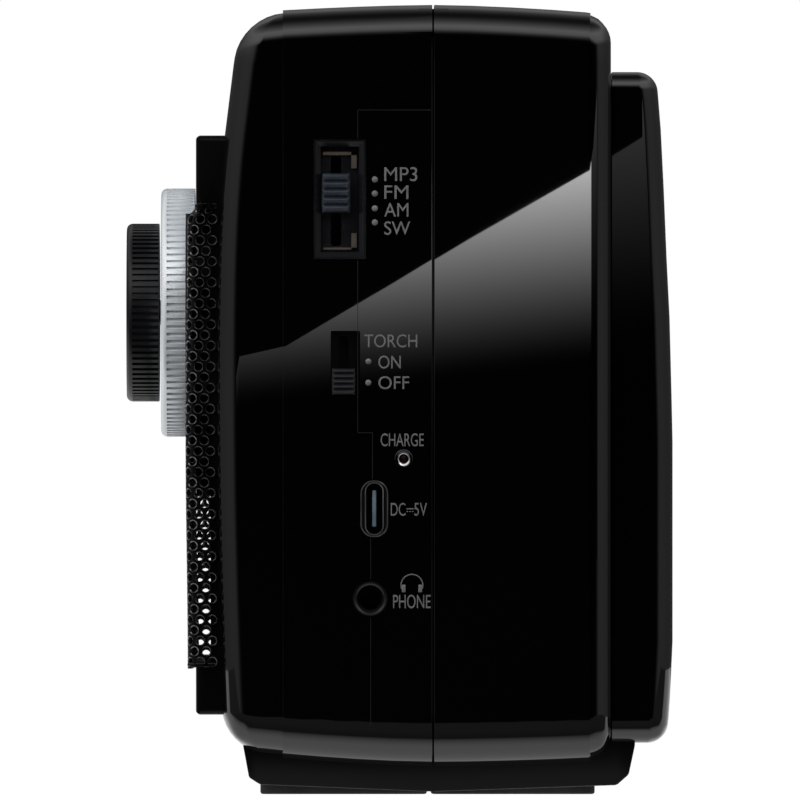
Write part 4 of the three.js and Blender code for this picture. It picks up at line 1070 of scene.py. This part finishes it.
def make_sockets():
    shell = block("usb_receptacle", (90, USB_Y - 1.6, USB_Z - 4.5), (97.9, USB_Y + 1.6, USB_Z + 4.5))
    bevel_where(shell, lambda a, b: abs(a.x - b.x) > 5, 1.55, 8)
    pick(shell, lambda c, n: n.x > 0.9, "FACE")
    bpy.ops.mesh.inset(thickness=0.2 * MM)
    bpy.ops.mesh.extrude_region_move(TRANSFORM_OT_translate={"value": (-6 * MM, 0, 0)})
    done()
    smooth(shell, 30)

    # The steel shell's inner walls take the black moulding: painted shade inside the socket. The far wall
    # stands for the socket's black plastic body.
    def inside(face):
        across = face.center - Vector((face.center.x, USB_Y * MM, USB_Z * MM))
        return across.dot(face.normal) < 0 or 91 < face.center.x / MM < 92.5

    two_tone(shell, STEEL, BEZEL, inside)
    place_piece(shell, "cabinet", STEEL, ["usb_socket"])
    tongue = block("usb_tongue_moulding", (92, USB_Y - 0.35, USB_Z - 3.1),
                   (97.2, USB_Y + 0.35, USB_Z + 3.1))
    soften(tongue, 0.15, 3)
    place_piece(tongue, "cabinet", TONGUE, ["usb_tongue"])
    rim = block("usb_rim", (94, USB_Y - 2.35, USB_Z - 4.82), (97.95, USB_Y + 2.35, USB_Z + 4.82))
    bevel_where(rim, lambda a, b: abs(a.x - b.x) > 3, 2.2, 10)
    pick(rim, lambda c, n: n.x > 0.9, "FACE")
    bpy.ops.mesh.inset(thickness=0.2 * MM)
    bpy.ops.mesh.inset(thickness=0.3 * MM, depth=-0.3 * MM)
    done()
    cut_away(rim, [cutter_block((80, USB_Y - 1.65, USB_Z - 4.55), (99, USB_Y + 1.65, USB_Z + 4.55),
                                "x", 1.6)])
    smooth(rim, 20)
    two_tone(rim, BEZEL, STEEL, lambda face: face.center.x / MM > 97.94)
    place_piece(rim, "cabinet", BEZEL, ["front_shell"])

    collar = [(0, 88), (3.1, 88), (3.1, 97.7), (2.95, 97.95), (2.7, 98.0), (2.35, 97.8), (2.05, 97.3),
              (1.85, 96.6), (1.85, 89), (0, 89)]
    turned_fitting("headphone_jack_turned", (JACK_Y, JACK_Z), collar, 64, 40,
                   BEZEL, "headphone_jack")
    ring = [(0.75, 95.5), (1.6, 95.5), (1.6, 98.0), (1.45, 98.25), (1.0, 98.25), (0.75, 98.0),
            (0.75, 95.5)]
    turned_fitting("charge_lamp_ring", (LAMP_Y, LAMP_Z), ring, 48, 50,
                   CHROME, "charge_led_ring")
    lens = [(0, 90), (0.7, 90), (0.7, 97.2), (0.5, 97.6), (0, 97.7)]
    turned_fitting("charge_lamp", (LAMP_Y, LAMP_Z), lens, 32, 40, LAMP, "charge_led")


# ------------------------------------------------------------------ lettering

def extent(piece):
    points = [v.co / MM for v in piece.data.vertices]
    low = Vector([min(p[i] for p in points) for i in range(3)])
    high = Vector([max(p[i] for p in points) for i in range(3)])
    return low, high


def words_as_mesh(words, extrude, turn):
    bpy.ops.object.select_all(action="DESELECT")
    bpy.ops.object.text_add()
    text = bpy.context.object
    text.data.body = words
    text.data.size = 3 * MM
    text.data.extrude = extrude * MM
    bpy.ops.object.convert(target="MESH")
    piece = bpy.context.object
    piece.rotation_euler = turn
    return settle(piece, "words " + words)


def words_on_side(words, y_low, y_high, z_low, z_high):
    """Raised lettering on the switch side, fitted to a rectangle."""
    piece = words_as_mesh(words, 0.04, (math.pi / 2, 0, math.pi / 2))
    low, high = extent(piece)
    piece.scale = (1, (y_high - y_low) / (high.y - low.y), (z_high - z_low) / (high.z - low.z))
    settle(piece, piece.name)
    low, high = extent(piece)
    piece.location = ((FACE_X - low.x - 0.02) * MM, (y_low - low.y) * MM, (z_low - low.z) * MM)
    settle(piece, piece.name)
    pick_all(piece)
    bpy.ops.mesh.remove_doubles(threshold=0.002 * MM)
    done()
    return piece


def dot(y, z, radius):
    """A small domed mark standing on the side."""
    foot, rim, top = FACE_X - 0.1, FACE_X, FACE_X + 0.2
    dome = [(0, foot), (radius, foot), (radius, rim), (radius * 0.6, rim + 0.15), (0, top)]
    point = spun("dot", "x", (y, z), dome, 24)
    smooth(point, 50)
    return point


BAND_DOT_RADIUS = 0.52
TORCH_DOT_RADIUS = 0.5


def make_labels():
    band = [
        words_on_side("MP3", -2.5, 3.1, 104.2, 106.6),
        words_on_side("FM", -2.5, 1.6, 101.2, 103.5),
        words_on_side("AM", -2.5, 1.6, 98.2, 100.5),
        words_on_side("SW", -2.5, 1.9, 95.1, 97.4),
    ]
    for z in (104.5, 102.1, 99.6, 97.2):
        band.append(dot(-4.1, z, BAND_DOT_RADIUS))
    torch = [
        words_on_side("TORCH", -5.9, 3.1, 76.0, 78.2),
        words_on_side("ON", -3.5, 0.3, 72.4, 74.6),
        words_on_side("OFF", -3.5, 1.7, 68.9, 71.1),
        dot(-5.2, 73.6, TORCH_DOT_RADIUS),
        dot(-5.2, 70.0, TORCH_DOT_RADIUS),
    ]
    charge = [words_on_side("CHARGE", -3.1, 4.2, 59.2, 61.4)]
    supply = [
        words_on_side("DC", -1.4, 1.1, 47.4, 49.6),
        words_on_side("5V", 2.6, 4.75, 47.4, 49.6),
        block("supply_bar", (97.98, 1.25, 48.5), (98.06, 2.5, 48.68)),
    ]
    for y in (1.3, 1.75, 2.2):
        supply.append(block("supply_dash", (97.98, y, 48.05), (98.06, y + 0.24, 48.2)))
    phone = [words_on_side("PHONE", -1.0, 5.35, 31.7, 34.0), *headphone_mark(2.2, 35.6)]
    for name, parts in (("band_lettering", band), ("torch_lettering", torch), ("charge_lettering", charge),
                        ("supply_lettering", supply), ("headphone_lettering", phone)):
        place_piece(join(name, parts), "cabinet", LETTERING, ["front_shell"])


def headphone_mark(y, z):
    bpy.ops.object.select_all(action="DESELECT")
    bpy.ops.mesh.primitive_torus_add(major_radius=1.85 * MM, minor_radius=0.1 * MM, major_segments=48,
                                     minor_segments=10, location=(98.0 * MM, y * MM, z * MM),
                                     rotation=(0, math.pi / 2, 0))
    band = settle(bpy.context.object, "headphone_band")
    only(band)
    keep_side(band, "z", z - 0.6, above=True, fill=True)
    cups = []
    for side in (-1, 1):
        cup_y = y + side * 1.4
        cup = block("headphone_cup", (97.9, cup_y - 0.32, z - 1.2), (98.12, cup_y + 0.32, z + 0.1))
        soften(cup, 0.2, 3)
        cups.append(cup)
    return [band, *cups]


# ------------------------------------------------------------------ dial, keys, feet, torch

def words_on_front(words, x_middle, z_low, height, y_face):
    """Printed characters of a height, standing on a face that looks to the front."""
    piece = words_as_mesh(words, 0.03, (math.pi / 2, 0, 0))
    low, high = extent(piece)
    grow = height / (high.z - low.z)
    piece.scale = (grow * 0.8, 1, grow)
    settle(piece, piece.name)
    low, high = extent(piece)
    middle = (low.x + high.x) / 2
    piece.location = ((x_middle - middle) * MM, (y_face - low.y - 0.04) * MM, (z_low - low.z) * MM)
    return settle(piece, piece.name)


def make_dial():
    low, high = box_mm("dial_scale")
    card = block("dial_card", low, high)
    soften(card, 0.1, 2)
    place_piece(card, "cabinet", CARD, ["dial_scale"])
    start, span = low.x + 16, 92
    rows = [("FM", ["88", "92", "96", "100", "104", "108"], 107.4),
            ("AM", ["530", "700", "1000", "1300", "1600"], 105.0),
            ("SW", ["6", "9", "12", "15", "18"], 102.7)]
    prints = [words_on_front(band, low.x + 6, z, 1.7, low.y) for band, numbers, z in rows]
    for band, numbers, z in rows:
        for place, number in enumerate(numbers):
            x = start + span * place / (len(numbers) - 1)
            prints.append(words_on_front(number, x, z, 1.5, low.y))
    tick = block("tick", (start - 0.08, low.y - 0.03, 109.2), (start + 0.08, low.y + 0.02, 109.8))
    array(tick, 47, (span / 46, 0, 0))
    prints.append(tick)
    place_piece(join("dial_print", prints), "cabinet", INK, ["dial_scale"])
    low, high = box_mm("dial_window")
    window = block("dial_window_moulding", low, high)
    bevel_where(window, lambda a, b: abs(a.y - b.y) > 1, 0.6, 4)
    soften(window, 0.15, 3)
    place_piece(window, "cabinet", CLEAR, ["dial_window"])


KEY_MARKS = {"mode_button": "M", "back_button": "back", "play_button": "play", "next_button": "next",
             "repeat_button": "R"}


def arrow(x, z, face, side):
    mark = cylinder("arrow", "y", (x, z), 0.62, face - 0.05, face + 0.05, 3)
    only(mark)
    bpy.ops.object.mode_set(mode="EDIT")
    bpy.ops.mesh.select_all(action="SELECT")
    bpy.ops.transform.rotate(value=math.radians(-90 * side), orient_axis="Y",
                             center_override=(x * MM, 0, z * MM))
    done()
    return mark


def bar(x, z, face):
    return block("bar", (x - 0.14, face - 0.05, z - 0.6), (x + 0.14, face + 0.05, z + 0.6))


def key_mark(kind, x, z, face):
    if kind == "play":
        return [arrow(x - 0.9, z, face, 1), bar(x + 0.5, z, face), bar(x + 1.1, z, face)]
    if kind == "back":
        return [bar(x - 1.1, z, face), arrow(x - 0.3, z, face, -1), arrow(x + 0.7, z, face, -1)]
    if kind == "next":
        return [arrow(x - 0.7, z, face, 1), arrow(x + 0.3, z, face, 1), bar(x + 1.1, z, face)]
    return [words_on_front(kind, x, z - 0.7, 1.4, face)]


def make_keys():
    for node, kind in KEY_MARKS.items():
        low, high = box_mm(node)
        key = block(node + "_moulding", (low.x, low.y - 0.25, low.z), (high.x, low.y + 3.2, high.z))
        bevel_where(key, lambda a, b: abs(a.y - b.y) > 2, 0.6, 4)
        soften(key, 0.3, 3, 40)
        place_piece(key, node, KNOB, [node])
        x, z = (low.x + high.x) / 2, (low.z + high.z) / 2
        mark = join(node + "_mark", key_mark(kind, x, z, low.y - 0.25))
        place_piece(mark, node, LETTERING, [node])


def make_yoke():
    """The swivelling fork at the aerial's foot."""
    low, high = box_mm("antenna_yoke")
    fork = block("antenna_fork", (low.x, 28.6, low.z), (high.x, 34.4, 131.6))
    cut_away(fork, [cutter_block((low.x - 5, 29.7, 127.55), (high.x + 5, 40, 130.85))])
    soften(fork, 0.25, 3, 40)
    place_piece(fork, "antenna_yoke", CHROME, ["antenna_yoke"])


def make_feet():
    for node in FEET:
        low, high = box_mm(node)
        foot = block(node + "_pad", low, high)
        bevel_where(foot, lambda a, b: abs(a.z - b.z) > 2, 2.0, 5)
        soften(foot, 0.4, 3, 40)
        place_piece(foot, "cabinet", RUBBER, [node])


def make_torch():
    place = (TORCH_Y, TORCH_Z)
    lens = [(0, -96.6), (10.7, -96.6), (10.7, -97.6), (10.0, -97.9), (5, -98.3), (0, -98.4)]
    turned_fitting("torch_lens_moulding", place, lens, 96, 40, CLEAR, "torch_lens")
    ring = [(10.75, -96.4), (11.15, -96.4), (11.15, -97.9), (12.3, -97.9), (12.3, -98.4), (11.9, -98.6),
            (10.9, -98.5), (10.75, -98.2), (10.75, -96.4)]
    turned_fitting("torch_lens_ring", place, ring, 96, 40, CHROME, "torch_lens")
    bowl = [(1.6, -86.8)]
    for step in range(1, 11):
        radius = 1.6 + 9.1 * step / 10
        bowl.append((radius, -86.8 - 9.3 * (radius / 10.7) ** 2))
    bowl += [(11, -96.1), (11, -95.4), (10, -93.6), (6, -88.4), (2.4, -85.6), (1.6, -85.6), (1.6, -86.8)]
    turned_fitting("torch_reflector_bowl", place, bowl, 96, 40, CHROME, "torch_reflector")


# ------------------------------------------------------------------ pieces that stay as packed

def dress_inner_pieces():
    finishes = {
        "cabinet_gloss": GLOSS, "panel_satin": SATIN, "grille_paint": GRILLE, "clear_window": CLEAR,
        "scale_card": CARD, "pointer_red": RED, "zinc_steel": STEEL, "bright_chrome": CHROME,
        "knob_black": KNOB, "knob_silver": SILVER, "brass_turned": BRASS, "slider_grey": SLIDER,
        "moulded_black": INNER_MOULDING, "button_black": KNOB, "foot_rubber": RUBBER,
        "battery_sleeve": SLEEVE, "cone_paper": CONE, "ferrite_grey": FERRITE,
        "copper_wire": COPPER, "board_green": BOARD, "led_lens": LAMP}
    for node in NODES.values():
        for slot in node.material_slots:
            slot.material = finishes[slot.material.name]


make_camera()
make_case()
make_rear_cover()
make_battery_door()
for screw_node in SCREWS:
    make_screw(screw_node)
make_front_panel()
make_grille()
make_knobs()
make_band_switch()
make_torch_switch()
make_sockets()
make_labels()
make_insert_outline()
make_dial()
make_keys()
make_yoke()
make_feet()
make_torch()
dress_inner_pieces()


# ------------------------------------------------------------------ room and light

def make_floor():
    """A pale table that glows rather than being lit: white where the camera sees it, and for light and
    reflections only close under the radio, a glow the gloss mirrors as the highlight along its bottom
    edges.
    """
    bpy.ops.object.select_all(action="DESELECT")
    bpy.ops.mesh.primitive_plane_add(size=1, location=(-0.05, 0, 0), scale=(0.9, 0.9, 1))
    floor = bpy.context.object
    floor.name = "floor"
    only(floor)
    bpy.ops.object.transform_apply(location=True, rotation=True, scale=True)
    material = new_material("pale_floor", (0.02, 0.02, 0.02), 0.8)
    tree = material.node_tree
    place = tree.nodes.new("ShaderNodeTexCoord")
    split = tree.nodes.new("ShaderNodeSeparateXYZ")
    glow_close_under = map_range(tree, 104 * MM, 122 * MM, 0.7, 0.02)
    path = tree.nodes.new("ShaderNodeLightPath")
    seen = tree.nodes.new("ShaderNodeMix")
    seen.inputs["B"].default_value = 1.0
    shader = shader_of(material)
    shader.inputs["Emission Color"].default_value = (1, 1, 1, 1)
    wire(place, "Object", split, "Vector")
    wire(split, "X", glow_close_under, "Value")
    wire(path, "Is Camera Ray", seen, "Factor")
    wire(glow_close_under, "Result", seen, "A")
    wire(seen, "Result", shader, "Emission Strength")
    floor.data.materials.append(material)


# Grey levels of the tent, from straight down (0) over the horizon (0.5) to straight up (1).
SKY = [(0.0, 0.03), (0.5, 0.16), (0.6, 0.22), (0.75, 0.62), (0.86, 0.8), (0.95, 0.3), (1.0, 0.04)]


def make_world():
    """White behind the radio; for light and reflections, a tent that is dark where the camera stands."""
    world = bpy.data.worlds.new("studio")
    world.use_nodes = True
    bpy.context.scene.world = world
    tree = world.node_tree
    tent = tree.nodes["Background"]
    backdrop = tree.nodes.new("ShaderNodeBackground")
    backdrop.inputs["Color"].default_value = (1, 1, 1, 1)
    direction = tree.nodes.new("ShaderNodeTexCoord")
    split = tree.nodes.new("ShaderNodeSeparateXYZ")
    height = map_range(tree, -1, 1, 0, 1)
    aside = map_range(tree, 0.98, 0.8, 0, 1)
    aside.interpolation_type = "SMOOTHSTEP"
    behind = map_range(tree, -1, 0.5, 0.25, 1.3)
    level = tree.nodes.new("ShaderNodeMath")
    level.operation = "MULTIPLY"
    ramp = tree.nodes.new("ShaderNodeValToRGB")
    while len(ramp.color_ramp.elements) < len(SKY):
        ramp.color_ramp.elements.new(0.5)
    for stop, (place, grey) in zip(ramp.color_ramp.elements, SKY):
        stop.position = place
        stop.color = (grey, grey, grey, 1)
    path = tree.nodes.new("ShaderNodeLightPath")
    choose = tree.nodes.new("ShaderNodeMixShader")
    wire(direction, "Generated", split, "Vector")
    wire(split, "Z", height, "Value")
    wire(split, "X", aside, "Value")
    wire(height, "Result", ramp, "Fac")
    wire(ramp, "Color", tent, "Color")
    wire(split, "X", behind, "Value")
    wire(aside, "Result", level, 0)
    wire(behind, "Result", level, 1)
    wire(level, "Value", tent, "Strength")
    wire(path, "Is Camera Ray", choose, "Fac")
    wire(tent, "Background", choose, 1)
    wire(backdrop, "Background", choose, 2)
    wire(choose, "Shader", tree.nodes["World Output"], "Surface")


def softbox(name, place, size, power, aim=(0, 0, 0.067)):
    data = bpy.data.lights.new(name, "AREA")
    data.shape = "RECTANGLE"
    data.size, data.size_y = size
    data.energy = power
    light = bpy.data.objects.new(name, data)
    bpy.context.scene.collection.objects.link(light)
    light.visible_glossy = False
    light.location = place
    direction = Vector(aim) - Vector(place)
    light.rotation_euler = direction.to_track_quat("-Z", "Y").to_euler()


def make_lights():
    softbox("overhead", place=(0.7, -0.1, 0.85), size=(0.6, 0.9), power=6.0)
    softbox("front_fill", place=(0.45, -0.95, 0.3), size=(0.9, 0.8), power=4.0)


CARD_DISTANCE = 60
SHEEN_RISE = (0, -2.7059, 21.961)  # how the sheen's level grows along each axis, per metre
SHEEN_START = 1.5098
SHEEN_CURVE = 2.3
SHEEN_STRENGTH = 10.8
SHEEN_STRENGTH_ON_COVER = 0.45


def make_reflection_card():
    """A graded card beside the switch side, seen only as the diagonal sheen on the flat gloss."""
    slope = [(-44, 71.0), (-30.5, 74.0), (-19.3, 76.2), (6.0, 91.0), (34.0, 107.0), (36.5, 108.7),
             (46, 113.5), (60, 120)]
    flat_card("sheen_card", [*slope, (60, 40), (-44, 40)], sheen_gradient())


def flat_card(name, outline, material):
    x = FACE_X + CARD_DISTANCE
    spread = 1 + CARD_DISTANCE / (FRAME_HEIGHT * LENS / SENSOR)
    points = []
    for y, z in outline:
        points.append(Vector((x, VIEW_CENTRE[0] + (y - VIEW_CENTRE[0]) * spread,
                              VIEW_CENTRE[1] + (z - VIEW_CENTRE[1]) * spread)) * MM)
    bpy.ops.object.select_all(action="DESELECT")
    bpy.ops.mesh.primitive_circle_add(vertices=len(points), radius=0.01, fill_type="NGON")
    card = bpy.context.object
    card.name = name
    for vertex, point in zip(card.data.vertices, points):
        vertex.co = point
    card.data.materials.append(material)
    card.visible_camera = False
    card.visible_shadow = False
    card.visible_diffuse = False
    card.visible_transmission = False


def sheen_gradient():
    """Brightest along the upper edge, fading out below it and towards the front."""
    material = bpy.data.materials.new("sheen_gradient")
    material.use_nodes = True
    tree = material.node_tree
    tree.nodes.clear()
    coordinates = tree.nodes.new("ShaderNodeTexCoord")
    weigh = tree.nodes.new("ShaderNodeVectorMath")
    weigh.operation = "DOT_PRODUCT"
    weigh.inputs[1].default_value = SHEEN_RISE
    shift = tree.nodes.new("ShaderNodeMath")
    shift.operation = "SUBTRACT"
    shift.inputs[1].default_value = SHEEN_START
    shift.use_clamp = True
    curve = tree.nodes.new("ShaderNodeMath")
    curve.operation = "POWER"
    curve.inputs[1].default_value = SHEEN_CURVE
    split = tree.nodes.new("ShaderNodeSeparateXYZ")
    rear = map_range(tree, 35.0 * MM, 35.6 * MM, SHEEN_STRENGTH, SHEEN_STRENGTH_ON_COVER)
    gain = tree.nodes.new("ShaderNodeMath")
    gain.operation = "MULTIPLY"
    glow = tree.nodes.new("ShaderNodeEmission")
    output = tree.nodes.new("ShaderNodeOutputMaterial")
    wire(coordinates, "Object", weigh, 0)
    wire(coordinates, "Object", split, "Vector")
    wire(split, "Y", rear, "Value")
    wire(rear, "Result", gain, 1)
    wire(weigh, "Value", shift, 0)
    wire(shift, "Value", curve, 0)
    wire(curve, "Value", gain, 0)
    wire(gain, "Value", glow, "Strength")
    wire(glow, "Emission", output, "Surface")
    return material


def make_room():
    make_floor()
    make_world()
    make_lights()
    make_reflection_card()
    bpy.context.scene.view_settings.view_transform = "Standard"


make_room()
